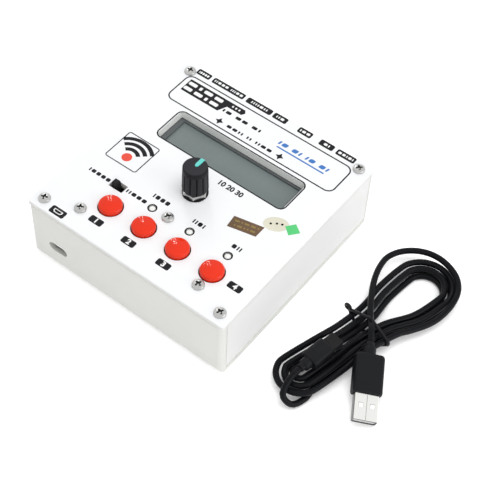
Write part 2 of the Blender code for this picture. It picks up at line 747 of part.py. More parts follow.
def make_screws():
    """Pan-head cross-recess screws, four at the corners and three on the panel."""
    crown = SCREW_HEAD_RADIUS
    profile = [(0.0, -SCREW_LENGTH), (SCREW_SHANK_RADIUS, -SCREW_LENGTH), (SCREW_SHANK_RADIUS, 0.0),
               (crown, 0.0)]
    for share in HEAD_SHARES:
        angle = math.pi / 2 * share
        profile.append((
            crown * (1 - PAN_FLAT_SHARE + PAN_FLAT_SHARE * math.cos(angle)),
            SCREW_HEAD_HEIGHT * (HEAD_RIM_SHARE + (1 - HEAD_RIM_SHARE) * math.sin(angle)),
        ))
    profile.append((0.0, SCREW_HEAD_HEIGHT))
    screw = turned("screw", profile, ROUND_COUNT, chrome())
    for turn in (0.0, math.pi / 2):
        arm = plate(
            "cross_arm", CROSS_LENGTH, CROSS_WIDTH, CROSS_WIDTH * MOST_ROUND_SHARE / 2,
            SCREW_HEAD_HEIGHT - CROSS_DEPTH, SCREW_HEAD_HEIGHT + PAST, chrome(), steps=1,
        )
        cut(screw, moved(arm, turn=turn + math.pi / 4))
    screw = smooth(settled(screw))
    corners = [(sx * CORNER_SCREW_X, sy * CORNER_SCREW_Y) for sy in (-1, 1) for sx in (-1, 1)]
    copies(screw, "corner_screw", corners, PANEL_TOP + HEAD_GAP)
    first = link(bpy.data.objects.new("panel_screw", screw.data))
    copies(first, "panel_screw", PANEL_SCREW_PLACES, PANEL_TOP + HEAD_GAP)


def make_panel_spacers():
    """Threaded pillars that carry the control board under the panel."""
    low, high = CONTROL_TOP + SEAT_GAP, PANEL_BOTTOM - SEAT_GAP
    spacer = rod("panel_spacer", SPACER_RADIUS, 0.0, high - low, FINE_COUNT, brass())
    bore = rod("spacer_bore", SCREW_HOLE_RADIUS, -PAST, high - low + PAST, FINE_COUNT, brass())
    spacer = smooth(settled(cut(spacer, bore)))
    copies(spacer, "panel_spacer", PANEL_SCREW_PLACES, low)


def make_boards():
    """The control board under the panel and the main board on the tray's posts."""
    look = board_green()
    control_y = (CONTROL_FRONT_Y + CONTROL_REAR_Y) / 2
    control = plate(
        "control_board", CONTROL_LENGTH, CONTROL_REAR_Y - CONTROL_FRONT_Y, CONTROL_CORNER,
        CONTROL_TOP - BOARD_THICKNESS, CONTROL_TOP, look, (0.0, control_y),
    )
    for place in PANEL_SCREW_PLACES:
        low, high = CONTROL_TOP - BOARD_THICKNESS - PAST, CONTROL_TOP + PAST
        cut(control, rod("board_hole", SCREW_HOLE_RADIUS, low, high, FINE_COUNT, look, place))
    settled(control)
    main = plate(
        "main_board", MAIN_LENGTH, 2 * (WALL_INSIDE_Y - MAIN_CLEARANCE), CONTROL_CORNER,
        MAIN_BOARD_BOTTOM, MAIN_BOARD_TOP, look,
    )
    sunk = MAIN_BOARD_TOP - BOARD_THICKNESS / 2
    wide = block(
        "chip_wide", (-CHIP_SIDE, -CHIP_SIDE / 3, sunk),
        (CHIP_SIDE, CHIP_SIDE / 3, MAIN_BOARD_TOP + CHIP_HEIGHT), look,
    )
    square = plate(
        "chip_square", CHIP_SIDE, CHIP_SIDE, CHIP_SIDE / 20, sunk,
        MAIN_BOARD_TOP + CHIP_HEIGHT, look, (-2 * CHIP_SIDE, -2 * CHIP_SIDE),
    )
    settled(add(main, wide, square))


def make_display():
    """Display module: board on four spacers, black frame with its view and glass."""
    middle = (0.0, DISPLAY_Y)
    low = DISPLAY_BOARD_TOP - BOARD_THICKNESS
    board = plate(
        "display_board", DISPLAY_BOARD_LENGTH, DISPLAY_BOARD_WIDTH, CONTROL_CORNER / 2,
        low, DISPLAY_BOARD_TOP, board_green(), middle,
    )
    for sx in (-1, 1):
        for sy in (-1, 1):
            place = (sx * DISPLAY_BOLT_X, DISPLAY_Y + sy * DISPLAY_BOLT_Y)
            foot = MAIN_BOARD_TOP + SEAT_GAP
            add(board, rod("display_spacer", SPACER_RADIUS, foot, low + BOARD_THICKNESS / 2,
                           FINE_COUNT, brass(), place))
    settled(board)
    bezel_low = BEZEL_TOP - BEZEL_HEIGHT
    frame = plate(
        "display_bezel", BEZEL_LENGTH, BEZEL_WIDTH, BEZEL_LIP, bezel_low, BEZEL_TOP,
        black_plastic(), middle,
    )
    lip = 2 * BEZEL_LIP
    well = plate(
        "bezel_well", BEZEL_LENGTH - 2 * lip, BEZEL_WIDTH - 2 * lip, BEZEL_LIP,
        bezel_low - PAST, BEZEL_TOP - BEZEL_LIP, black_plastic(), middle,
    )
    view = plate(
        "bezel_view", VIEW_LENGTH, VIEW_WIDTH, BEZEL_LIP / 2, bezel_low, BEZEL_TOP + PAST,
        black_plastic(), middle,
    )
    settled(cut(frame, well, view))
    plate(
        "display_glass", BEZEL_LENGTH - 2 * lip - 2 * SEAT_GAP,
        BEZEL_WIDTH - 2 * lip - 2 * SEAT_GAP, BEZEL_LIP / 2, bezel_low + BEZEL_LIP,
        BEZEL_TOP - BEZEL_LIP - SEAT_GAP, material("display_glass", (0.1, 0.12, 0.1), 0.12),
        middle,
    )
    pin_y = DISPLAY_Y + DISPLAY_BOARD_WIDTH / 2 - HEADER_INSET
    pin_x = -DISPLAY_BOLT_X + 2 * SPACER_RADIUS
    block(
        "display_header",
        (pin_x, pin_y - HEADER_WIDTH / 2, MAIN_BOARD_TOP + SEAT_GAP),
        (pin_x + HEADER_LENGTH, pin_y + HEADER_WIDTH / 2, low - SEAT_GAP),
        black_plastic(),
    )


def make_buttons():
    """Domed caps with a retaining flange, a hollow skirt and the plunger inside."""
    top = BUTTON_RISE - BUTTON_DOME
    base = BUTTON_RISE - BUTTON_DOME - BUTTON_SKIRT
    flange = BUTTON_SKIN * FLANGE_SHARE
    inside = BUTTON_RADIUS - BUTTON_SKIN
    plunger_low = CONTROL_TOP + SEAT_GAP + SWITCH_HEIGHT / 2 - PANEL_TOP
    profile = [
        (0.0, plunger_low), (PLUNGER_RADIUS, plunger_low), (PLUNGER_RADIUS, top - 2 * BUTTON_SKIN),
        (inside, top - 2 * BUTTON_SKIN), (inside, base), (BUTTON_HOLE_RADIUS + flange / 2, base),
        (BUTTON_HOLE_RADIUS + flange / 2, base + flange), (BUTTON_RADIUS, base + flange),
    ]
    for i in range(5):
        angle = math.pi / 2 * i / 4
        profile.append((
            BUTTON_RADIUS - BUTTON_EDGE_ROUND * (1 - math.cos(angle)),
            top - BUTTON_EDGE_ROUND * (1 - math.sin(angle)),
        ))
    crown = BUTTON_RADIUS - BUTTON_EDGE_ROUND
    for share in DOME_SHARES:
        profile.append((crown * share, top + BUTTON_DOME * (1 - share ** 2)))
    profile.append((0.0, BUTTON_RISE))
    cap = smooth(turned("button_cap", profile, ROUND_COUNT, red_plastic()), 30.0)
    copies(cap, "button_cap", BUTTON_PLACES, PANEL_TOP)


def make_tact_switches():
    """Square tactile switches with a round collar, open where the plunger enters."""
    side = plate(
        "tact_switch", SWITCH_SIDE, SWITCH_SIDE, SWITCH_COLLAR_HEIGHT, 0.0, SWITCH_HEIGHT,
        black_plastic(), steps=1,
    )
    collar = rod(
        "switch_collar", SWITCH_COLLAR_RADIUS, SWITCH_HEIGHT / 2,
        SWITCH_HEIGHT + SWITCH_COLLAR_HEIGHT, ROUND_COUNT, black_plastic(),
    )
    well = rod(
        "switch_well", PLUNGER_RADIUS + SEAT_GAP, SWITCH_HEIGHT / 5,
        SWITCH_HEIGHT + SWITCH_COLLAR_HEIGHT + PAST, ROUND_COUNT, black_plastic(),
    )
    switch = settled(cut(add(side, collar), well))
    copies(switch, "tact_switch", BUTTON_PLACES, CONTROL_TOP + SEAT_GAP)


def make_lamps():
    """Flush indicator lamps on two leads, with the usual collar at the base."""
    high = PANEL_TOP
    low = high - LAMP_HEIGHT
    flange = low + LAMP_FLANGE_HEIGHT
    profile = [
        (0.0, low - high), (LAMP_FLANGE_RADIUS, low - high), (LAMP_FLANGE_RADIUS, flange - high),
        (LAMP_RADIUS, flange - high),
    ]
    for i in range(3):
        angle = math.pi / 2 * i / 3
        profile.append((LAMP_RADIUS * math.cos(angle), LAMP_DOME * (math.sin(angle) - 1)))
    profile.append((0.0, 0.0))
    lamp = turned("lamp", profile, ROUND_COUNT, material("lamp_lens", (0.85, 0.86, 0.84), 0.3))
    for side in (-1, 1):
        middle = side * LAMP_LEAD_PITCH / 2
        half = LAMP_LEAD_WIDTH / 2
        lead = block(
            "lamp_lead", (middle - half, -half, CONTROL_TOP + SEAT_GAP - high),
            (middle + half, half, flange - high - half), chrome(),
        )
        add(lamp, lead)
    lamp = smooth(settled(lamp))
    copies(lamp, "indicator_lamp", LAMP_PLACES, high)


def knob_ring(radius, height, depth):
    """A ring with evenly spaced grooves pressed in, each a narrow rounded dip."""
    count = KNOB_GROOVES * 8
    ring = []
    for i in range(count):
        angle = 2 * math.pi * i / count
        dip = max(0.0, math.cos(KNOB_GROOVES * angle)) ** 8
        reach = radius - depth * dip
        ring.append(Vector((reach * math.cos(angle), reach * math.sin(angle), height)))
    return ring


def pointer_outline(grow):
    """Side view of the inlay: along the top to the rim, then down the side."""
    rim = KNOB_TOP_RADIUS + INLAY_GAP
    top = KNOB_HEIGHT + INLAY_GAP
    low = KNOB_HEIGHT - POINTER_DROP - grow
    inner = rim - POINTER_DEPTH - grow
    under = KNOB_HEIGHT - POINTER_DEPTH - grow
    if grow:
        rim, top = rim + PAST, top + PAST
    return [(-POINTER_WIDTH / 2 - grow, under), (inner, under), (inner, low), (rim, low),
            (rim, top), (-POINTER_WIDTH / 2 - grow, top)]


def pointer_solid(name, grow, look):
    half = POINTER_WIDTH / 2 + grow
    outline = pointer_outline(grow)
    return solid(name, [[Vector((x, y, z)) for y, z in outline] for x in (-half, half)], look)


def make_speed_knob():
    """Grooved, slightly tapered knob with a bevelled top and a coloured pointer."""
    look = black_plastic()
    stop = KNOB_HEIGHT - KNOB_GROOVE_STOP
    depth = KNOB_GROOVE_DEPTH
    stop_radius = KNOB_BASE_RADIUS + (KNOB_TOP_RADIUS - KNOB_BASE_RADIUS) * stop / KNOB_HEIGHT
    shoulder = KNOB_HEIGHT - KNOB_BEVEL
    rings = [
        knob_ring(KNOB_BASE_RADIUS, 0.0, depth),
        knob_ring(stop_radius, stop, depth),
        knob_ring(stop_radius, stop + depth, 0.0),
        knob_ring(KNOB_TOP_RADIUS, shoulder, 0.0),
        knob_ring(KNOB_TOP_RADIUS - KNOB_BEVEL / 3, KNOB_HEIGHT - KNOB_BEVEL / 3, 0.0),
        knob_ring(KNOB_TOP_RADIUS - KNOB_BEVEL, KNOB_HEIGHT, 0.0),
    ]
    knob = solid("speed_knob", rings, look)
    bore = rod("knob_bore", POT_SHAFT_RADIUS + SEAT_GAP, -PAST, POT_SHAFT_ENGAGED + SEAT_GAP,
               ROUND_COUNT, look)
    recess = rod("knob_recess", KNOB_BASE_RADIUS - KNOB_SKIN - depth, -PAST, KNOB_RECESS_DEPTH,
                 ROUND_COUNT, look)
    knob = settled(cut(knob, bore, recess, pointer_solid("pointer_slot", INLAY_GAP, look)))
    smooth(knob, 28.0).location = (KNOB_X, KNOB_Y, KNOB_BOTTOM)
    pointer = pointer_solid("knob_pointer", 0.0, material("pointer_teal", (0.0, 0.36, 0.38), 0.4))
    pointer.location = (KNOB_X, KNOB_Y, KNOB_BOTTOM)


def make_potentiometer():
    """Board potentiometer held in the panel by a washer and a hexagon nut."""
    top = PANEL_BOTTOM - SEAT_GAP
    low = top - POT_BODY_HEIGHT
    steel = socket_steel()
    body = plate(
        "pot_body", POT_BODY_SIDE, POT_BODY_SIDE, POT_WASHER_HEIGHT, low - top, 0.0, steel, steps=2
    )
    bush_top = PANEL_TOP + POT_BUSH_RISE - top
    bush = rod("pot_bush", POT_BUSH_RADIUS, low / 2 - top / 2, bush_top, ROUND_COUNT, steel)
    bore_radius = POT_SHAFT_RADIUS + RUN_CLEARANCE
    bore_low = low / 2 - top / 2
    bore = rod("pot_bore", bore_radius, bore_low, bush_top + PAST, ROUND_COUNT, steel)
    body = smooth(settled(cut(add(body, bush), bore)))
    body.location = (KNOB_X, KNOB_Y, top)
    shaft_low = top + bore_low + SEAT_GAP
    chamfer = POT_SHAFT_RADIUS / 6
    shaft_top = KNOB_BOTTOM + POT_SHAFT_ENGAGED
    profile = [
        (0.0, shaft_low), (POT_SHAFT_RADIUS, shaft_low), (POT_SHAFT_RADIUS, shaft_top - chamfer),
        (POT_SHAFT_RADIUS - chamfer, shaft_top), (0.0, shaft_top),
    ]
    profile = [(radius, height - shaft_low) for radius, height in profile]
    shaft = smooth(turned("pot_shaft", profile, ROUND_COUNT, socket_steel()))
    shaft.location = (KNOB_X, KNOB_Y, shaft_low)
    washer = rod("pot_washer", POT_WASHER_RADIUS, 0.0, POT_WASHER_HEIGHT, ROUND_COUNT, chrome())
    hole = rod("washer_hole", POT_BUSH_RADIUS + SEAT_GAP, -PAST, PAST, ROUND_COUNT, chrome())
    smooth(settled(cut(washer, hole))).location = (KNOB_X, KNOB_Y, PANEL_TOP + HEAD_GAP)
    across = POT_NUT_FLATS / 2 / math.cos(math.pi / 6)
    nut = rod("pot_nut", across, 0.0, POT_NUT_HEIGHT, 6, chrome())
    dome = turned(
        "nut_round", [
            (0.0, -PAST), (across, -PAST), (across, POT_NUT_HEIGHT * NUT_EDGE_SHARE),
            (POT_NUT_FLATS / 2, POT_NUT_HEIGHT), (0.0, POT_NUT_HEIGHT),
        ], ROUND_COUNT, chrome(),
    )
    boolean(nut, dome, "INTERSECT")
    threads = rod("nut_hole", POT_BUSH_RADIUS + SEAT_GAP, -PAST, POT_NUT_HEIGHT + PAST, ROUND_COUNT,
                  chrome())
    nut = smooth(settled(cut(nut, threads)))
    nut.location = (KNOB_X, KNOB_Y, PANEL_TOP + 2 * HEAD_GAP + POT_WASHER_HEIGHT)


def make_slide_switch():
    """Slide switch: metal case with a well, and a lever resting at the left."""
    top = PANEL_BOTTOM - SEAT_GAP
    case = plate(
        "slide_switch_body", SLIDE_BODY_LENGTH, SLIDE_BODY_WIDTH, PANEL_EDGE_ROUND,
        top - SLIDE_BODY_HEIGHT, top, socket_steel(), (SLIDE_OPENING_X, SLIDE_OPENING_Y), 1,
    )
    room = 2 * SEAT_GAP
    well = plate(
        "slide_well", SLIDE_LEVER_LENGTH + SLIDE_TRAVEL + room, SLIDE_LEVER_WIDTH + room,
        PANEL_EDGE_ROUND, top - SLIDE_WELL_DEPTH, top + PAST, socket_steel(),
        (SLIDE_OPENING_X, SLIDE_OPENING_Y), 1,
    )
    settled(cut(case, well))
    low = top - SLIDE_WELL_DEPTH + SEAT_GAP
    high = PANEL_TOP + SLIDE_LEVER_RISE
    corner = PANEL_EDGE_ROUND
    rings = [
        rounded(SLIDE_LEVER_LENGTH, SLIDE_LEVER_WIDTH, corner, 0.0, 2),
        rounded(SLIDE_LEVER_LENGTH, SLIDE_LEVER_WIDTH, corner, high - low - corner, 2),
        rounded(
            SLIDE_LEVER_LENGTH - corner, SLIDE_LEVER_WIDTH - corner, corner / 2, high - low, 2
        ),
    ]
    lever = smooth(solid("slide_lever", rings, black_plastic()))
    lever.location = (SLIDE_OPENING_X - SLIDE_TRAVEL / 2, SLIDE_OPENING_Y, low)


def port_outline(width, height, y):
    """A ring in an upright plane: flat top, lower corners cut back."""
    half, drop = width / 2, height / 2
    slant = height * PORT_SLANT_SHARE
    points = [(-half, drop), (-half, -drop + slant), (-half + slant, -drop),
              (half - slant, -drop), (half, -drop + slant), (half, drop)]
    return [Vector((x, y, z)) for x, z in points]


def small_port(name, look):
    """A small five-pin port, its mouth at y = 0 facing -Y, on its own axis."""
    shell = solid(name, [port_outline(MINI_WIDTH, MINI_HEIGHT, y) for y in (0.0, MINI_DEPTH)], look)
    inner = [
        port_outline(MINI_WIDTH - 2 * MINI_SKIN, MINI_HEIGHT - 2 * MINI_SKIN, y)
        for y in (-PAST, MINI_DEPTH - 2 * MINI_SKIN)
    ]
    cut(shell, solid("port_room", inner, look))
    half = MINI_WIDTH / 3
    tongue = block(
        "port_tongue", (-half, 2 * MINI_SKIN, -MINI_TONGUE / 2),
        (half, MINI_DEPTH - MINI_SKIN, MINI_TONGUE / 2), look,
    )
    return settled(add(shell, tongue))


def make_ports():
    """Two small ports, the host port and five jacks, seated on the main board."""
    steel = socket_steel()
    rise = MAIN_BOARD_TOP + HEAD_GAP + MINI_HEIGHT / 2
    front = small_port("front_usb_port", steel)
    front.location = (FRONT_SLOT_X, -SOCKET_FACE_Y, rise)
    rear = link(bpy.data.objects.new("rear_usb_port", front.data))
    rear.location = (REAR_MINI_X, SOCKET_FACE_Y, rise)
    rear.rotation_euler = (0.0, 0.0, math.pi)
    host = plate("host_port", HOST_WIDTH, HOST_HEIGHT, HOST_SKIN, 0.0, HOST_DEPTH, steel, steps=1)
    room = plate(
        "host_room", HOST_WIDTH - 2 * HOST_SKIN, HOST_HEIGHT - 2 * HOST_SKIN, HOST_SKIN / 2,
        2 * HOST_SKIN, HOST_DEPTH + PAST, steel, steps=1,
    )
    tongue = block(
        "host_tongue", (-HOST_WIDTH / 2 + 2 * HOST_SKIN, HOST_HEIGHT * TONGUE_SHARE, HOST_SKIN),
        (HOST_WIDTH / 2 - 2 * HOST_SKIN, HOST_HEIGHT * TONGUE_SHARE + HOST_TONGUE,
         HOST_DEPTH - 2 * HOST_SKIN), steel,
    )
    host = settled(add(cut(host, room), tongue))
    moved(host, turn=-math.pi / 2, about="X")
    moved(host, turn=math.pi, about="Y")
    host.location = (HOST_X, SOCKET_FACE_Y - HOST_DEPTH, host_axis_height())
    jack = block(
        "jack", (-JACK_WIDTH / 2, -JACK_DEPTH, -JACK_HEIGHT / 2),
        (JACK_WIDTH / 2, 0.0, JACK_HEIGHT / 2), black_plastic(),
    )
    nose = rod("jack_nose", JACK_NOSE_RADIUS, -JACK_NOSE_LENGTH, JACK_NOSE_LENGTH, ROUND_COUNT, chrome())
    bore = rod("jack_bore", JACK_BORE_RADIUS, -JACK_BORE_DEPTH, JACK_BORE_DEPTH, FINE_COUNT, chrome())
    turn = -math.pi / 2
    jack = smooth(settled(cut(add(jack, moved(nose, turn=turn, about="X")),
                              moved(bore, turn=turn, about="X"))))
    names = ("paddle_jack", "key_line_jack", "serial_line_jack", "transmit_jack", "tone_jack")
    for name, x in zip(names, JACK_PLACES_X):
        piece = jack if x == JACK_PLACES_X[0] else link(bpy.data.objects.new(name, jack.data))
        piece.name = name
        piece.location = (x, SOCKET_FACE_Y, jack_axis_height())


def make_sounder():
    """Round sounder on the main board, open at its port."""
    low = MAIN_BOARD_TOP + SEAT_GAP
    edge = SOUNDER_RADIUS / 10
    profile = [
        (0.0, 0.0), (SOUNDER_RADIUS, 0.0), (SOUNDER_RADIUS, SOUNDER_HEIGHT - edge),
        (SOUNDER_RADIUS - edge, SOUNDER_HEIGHT), (SOUNDER_PORT_RADIUS, SOUNDER_HEIGHT),
        (SOUNDER_PORT_RADIUS, SOUNDER_HEIGHT / 2), (0.0, SOUNDER_HEIGHT / 2),
    ]
    sounder = smooth(turned("sounder", profile, ROUND_COUNT, black_plastic()))
    sounder.location = (SOUNDER_X, SOUNDER_Y, low)


def hank_frame():
    turn = Matrix.Rotation(math.radians(HANK_ANGLE), 4, "Z")
    return Matrix.Translation(Vector((HANK_X, HANK_Y, 0.0))) @ turn


def waist(along):
    """1 at the tie, falling smoothly to 0 at the reach on each side."""
    reach = HANK_WAIST_NEAR_REACH if along < 0.0 else HANK_WAIST_FAR_REACH
    if abs(along) >= reach:
        return 0.0
    return math.cos(math.pi / 2 * along / reach) ** 2


def lean(along):
    """How far the loops lie to the right, from nothing at the near fold."""
    share = (along - HANK_NEAR_CENTRE) / (HANK_FAR_CENTRE - HANK_NEAR_CENTRE)
    return HANK_LEAN * math.sin(math.pi / 2 * min(1.0, max(0.0, share)))


def hank_point(count):
    """Point number `count` of the loops: a near fold, a run, a far fold, a run.

    Each loop lies one step further in until the middle one, climbs a layer on
    the run there, and the rest lie one step further out again.
    """
    per_loop = 2 * (HANK_FOLD_POINTS + HANK_RUN_POINTS)
    turns = count / per_loop
    inset = HANK_STEP * min(turns, HANK_LOOPS - turns)
    near, far = HANK_NEAR_RADIUS - inset, HANK_FAR_RADIUS - inset
    place = count % per_loop
    half = HANK_FOLD_POINTS + HANK_RUN_POINTS
    second = place >= half
    place = place % half
    if place <= HANK_FOLD_POINTS:
        radius, middle = (far, HANK_FAR_CENTRE) if second else (near, HANK_NEAR_CENTRE)
        angle = math.pi * place / HANK_FOLD_POINTS + (0.0 if second else math.pi)
        across = radius * math.cos(angle)
        along = middle + radius * math.sin(angle)
    else:
        share = (place - HANK_FOLD_POINTS) / HANK_RUN_POINTS
        if second:
            share = 1 - share
        along = HANK_NEAR_CENTRE + (HANK_FAR_CENTRE - HANK_NEAR_CENTRE) * share
        across = (near + (far - near) * share) * (-1 if second else 1)
    across -= math.copysign(HANK_WAIST_DRAW * waist(along), across)
    across += lean(along)
    middle_turn = HANK_LOOPS / 2
    climb = (turns - middle_turn) * per_loop / HANK_RUN_POINTS + 1
    climb = min(1.0, max(0.0, climb))
    climb = climb * climb * (3 - 2 * climb)
    height = CABLE_DIAMETER / 2 + HANK_LIFT * climb
    height += HANK_WAIST_RISE * waist(along)
    return Vector((across, along, height))


def smooth_path(points, spacing):
    """Points at an even spacing on a smooth curve through the given ones."""
    points = [Vector(point) for point in points]
    fine = []
    for i in range(len(points) - 1):
        before = points[max(i - 1, 0)]
        after = points[min(i + 2, len(points) - 1)]
        start, end = points[i], points[i + 1]
        for k in range(ROUND_COUNT):
            t = k / ROUND_COUNT
            fine.append(0.5 * (
                2 * start + (end - before) * t
                + (2 * before - 5 * start + 4 * end - after) * t ** 2
                + (3 * start - before - 3 * end + after) * t ** 3
            ))
    fine.append(points[-1])
    lengths = [0.0]
    for start, end in zip(fine, fine[1:]):
        lengths.append(lengths[-1] + (end - start).length)
    count = max(2, round(lengths[-1] / spacing))
    path = []
    for i in range(count + 1):
        wanted = lengths[-1] * i / count
        k = min(np.searchsorted(lengths, wanted, "right"), len(fine) - 1)
        share = (wanted - lengths[k - 1]) / (lengths[k] - lengths[k - 1])
        path.append(fine[k - 1].lerp(fine[k], min(1.0, share)))
    return path


def tube(name, points, diameter, look, resolution=1, closed=False):
    """A round tube along the points, with filled ends unless it closes on itself."""
    curve = bpy.data.curves.new(name, "CURVE")
    curve.dimensions = "3D"
    curve.bevel_depth = diameter / 2
    curve.bevel_resolution = resolution
    curve.use_fill_caps = not closed
    spline = curve.splines.new("POLY")
    spline.points.add(len(points) - 1)
    for held, point in zip(spline.points, points):
        held.co = (*point, 1.0)
    spline.use_cyclic_u = closed
    curve.materials.append(look)
    return link(bpy.data.objects.new(name, curve))


def plug_a_frame():
    turn = Matrix.Rotation(math.radians(PLUG_A_ANGLE), 4, "Z")
    turn = turn @ Matrix.Rotation(math.radians(PLUG_A_TILT), 4, "Y")
    turn = turn @ Matrix.Rotation(math.radians(PLUG_A_ROLL), 4, "X")
    return Matrix.Translation(Vector((PLUG_A_X, PLUG_A_Y, PLUG_A_RISE))) @ turn


def plug_mini_frame():
    """The small plug lies on the hank, along it, its cable leaving at the near end."""
    place = Vector((PLUG_MINI_ACROSS, PLUG_MINI_ALONG, PLUG_MINI_RISE))
    return hank_frame() @ Matrix.Translation(place) @ Matrix.Rotation(math.pi / 2, 4, "Z")


def cable_path():
    """The cable's centre line from the small plug to the large one."""
    frame = hank_frame()
    first = HANK_FOLD_POINTS
    per_loop = 2 * (HANK_FOLD_POINTS + HANK_RUN_POINTS)
    last = HANK_LOOPS * per_loop + HANK_FOLD_POINTS + HANK_RUN_POINTS - 1
    loops = [frame @ hank_point(i) for i in range(first, last + 1)]
    mini = plug_mini_frame()
    out = Vector((-SEAT_GAP, 0.0, 0.0))
    straight = Vector((-SEAT_GAP - CABLE_DIAMETER, 0.0, 0.0))
    start = [mini @ out, mini @ straight]
    start += [frame @ Vector(point) for point in START_ROUTE] + loops[:2]
    large = plug_a_frame()
    end = loops[-2:] + [frame @ Vector(point) for point in END_ROUTE]
    end += [large @ (straight * 2 - out), large @ straight, large @ out]
    head = smooth_path(start, CABLE_SPACING)[:-1]
    tail = smooth_path(end, CABLE_SPACING)[1:]
    return head[:-1] + loops[1:-1] + tail


def least_gap(points, diameter, skip):
    """Least free space between the tube and itself, apart from its neighbours."""
    fine = []
    for start, end in zip(points, points[1:]):
        fine += [start.lerp(end, i / 4) for i in range(4)]
    cloud = np.array([tuple(point) for point in fine])
    steps = np.linalg.norm(np.diff(cloud, axis=0), axis=1)
    run = np.concatenate([[0.0], np.cumsum(steps)])
    apart = np.linalg.norm(cloud[:, None] - cloud[None], axis=2)
    apart[np.abs(run[:, None] - run[None]) < skip] = np.inf
    return float(apart.min()) - diameter, float(run[-1])


def make_lead():
    """The USB cable in one unbroken tube, its tie and its two plugs."""
    points = cable_path()
    tube("usb_lead", points, CABLE_DIAMETER, black_rubber())
    gap, length = least_gap(points, CABLE_DIAMETER, 4 * CABLE_DIAMETER)
    print(f"lead: least gap to itself {gap / MM:.2f} mm, cable length {length / MM:.0f} mm")
    make_tie()
    make_plug_a()
    make_plug_mini()


def make_tie():
    """A wire tie round the waist, twisted into a small ear at its left shoulder."""
    share = HANK_NEAR_CENTRE / (HANK_NEAR_CENTRE - HANK_FAR_CENTRE)
    reach = HANK_NEAR_RADIUS + (HANK_FAR_RADIUS - HANK_NEAR_RADIUS) * share - HANK_WAIST_DRAW
    left = reach + CABLE_DIAMETER / 2 + TIE_DIAMETER
    right = left + HANK_STEP / 2
    low = TIE_DIAMETER / 2
    middle_low = HANK_WAIST_RISE
    shoulder = HANK_WAIST_RISE + HANK_LIFT + CABLE_DIAMETER
    top = shoulder + CABLE_DIAMETER + 2 * TIE_DIAMETER
    outline = [
        (0.0, low), (right - 2 * low, low), (right, middle_low),
        (right, shoulder - TIE_DIAMETER), (right * TIE_SHARES[0], top - 2 * low),
        (right * TIE_SHARES[1], top), (-left * TIE_SHARES[1], top),
        (-left * TIE_SHARES[2], shoulder + 2 * TIE_DIAMETER),
    ]
    neck = (-left, shoulder + TIE_DIAMETER)
    for i in range(6):
        angle = math.pi * (EAR_START_SHARE + EAR_TURN_SHARE * i / 5)
        outline.append((
            neck[0] - TIE_EAR * EAR_OUT_SHARE + TIE_EAR * math.cos(angle),
            neck[1] + TIE_EAR * EAR_OUT_SHARE + TIE_EAR * math.sin(angle),
        ))
    outline += [(-left, shoulder - TIE_DIAMETER), (-left, middle_low), (2 * low - left, low)]
    frame = hank_frame()
    points = [frame @ Vector((lean(0.0) + x, 0.0, z)) for x, z in outline]
    tube("lead_tie", points, TIE_DIAMETER, black_plastic(), closed=True)


def upright_circle(radius, x):
    return [Vector((x, p.x, p.y)) for p in circle(radius, 0.0, ROUND_COUNT)]


def upright_rounded(width, height, corner, x):
    return [Vector((x, p.x, p.y)) for p in rounded(width, height, corner, 0.0, 5)]


def plug_body(name, relief, length, width, height, corner, frame):
    """Moulded plug: a smooth relief in two steps that swells into the flat grip."""
    near, neck_end, step, wide, far = (relief * share for share in RELIEF_STEP_SHARES)
    thin = (RELIEF_NECK_RADIUS + CABLE_DIAMETER / 2) / 2
    steps = (
        (thin, 0.0), (RELIEF_NECK_RADIUS, near), (RELIEF_NECK_RADIUS, neck_end),
        (RELIEF_RADIUS - near, step), (RELIEF_RADIUS, wide), (RELIEF_RADIUS, far),
    )
    rings = [upright_circle(radius, along) for radius, along in steps]
    small, middle, end = GRIP_END_SHARES
    first, second, last = GRIP_ALONG_SHARES
    for share, along in ((small, 0.0), (middle, first), (1, second), (1, last), (end, 1)):
        rings.append(upright_rounded(
            width * share, height * share, corner * share, relief + length * along
        ))
    body = solid(name, rings, black_rubber())
    body.data.transform(frame)
    return smooth(body, 40.0)


def plug_shell(name, length, width, height, skin, frame, corner):
    """Open metal shell of a plug along +X, its mouth at the far end."""
    rings = [upright_rounded(width, height, corner, x) for x in (0.0, length)]
    shell = solid(name, rings, socket_steel())
    inner = [
        upright_rounded(width - 2 * skin, height - 2 * skin, corner / 2, x)
        for x in (2 * skin, length + PAST)
    ]
    shell = settled(cut(shell, solid("shell_room", inner, socket_steel())))
    shell.data.transform(frame)
    return smooth(shell)


def make_plug_a():
    frame = plug_a_frame()
    plug_body("usb_plug_body", RELIEF_LENGTH, PLUG_A_LENGTH, PLUG_A_WIDTH, PLUG_A_HEIGHT,
              PLUG_A_ROUND, frame)
    start = RELIEF_LENGTH + PLUG_A_LENGTH + SEAT_GAP
    at = frame @ Matrix.Translation(Vector((start, 0.0, 0.0)))
    plug_shell("usb_plug_shell", SHELL_A_LENGTH, SHELL_A_WIDTH, SHELL_A_HEIGHT, SHELL_A_SKIN, at,
               SHELL_A_SKIN)
    gap = SHELL_A_SKIN + INLAY_GAP
    tongue = block(
        "usb_plug_tongue",
        (start + 2 * SHELL_A_SKIN + SEAT_GAP, gap - SHELL_A_WIDTH / 2, gap - SHELL_A_HEIGHT / 2),
        (start + SHELL_A_LENGTH - SHELL_A_SKIN, SHELL_A_WIDTH / 2 - gap,
         gap - SHELL_A_HEIGHT / 2 + SHELL_A_HEIGHT * TONGUE_THICK_SHARE),
        material("tongue_white", (0.85, 0.85, 0.83), 0.5),
    )
    tongue.data.transform(frame)


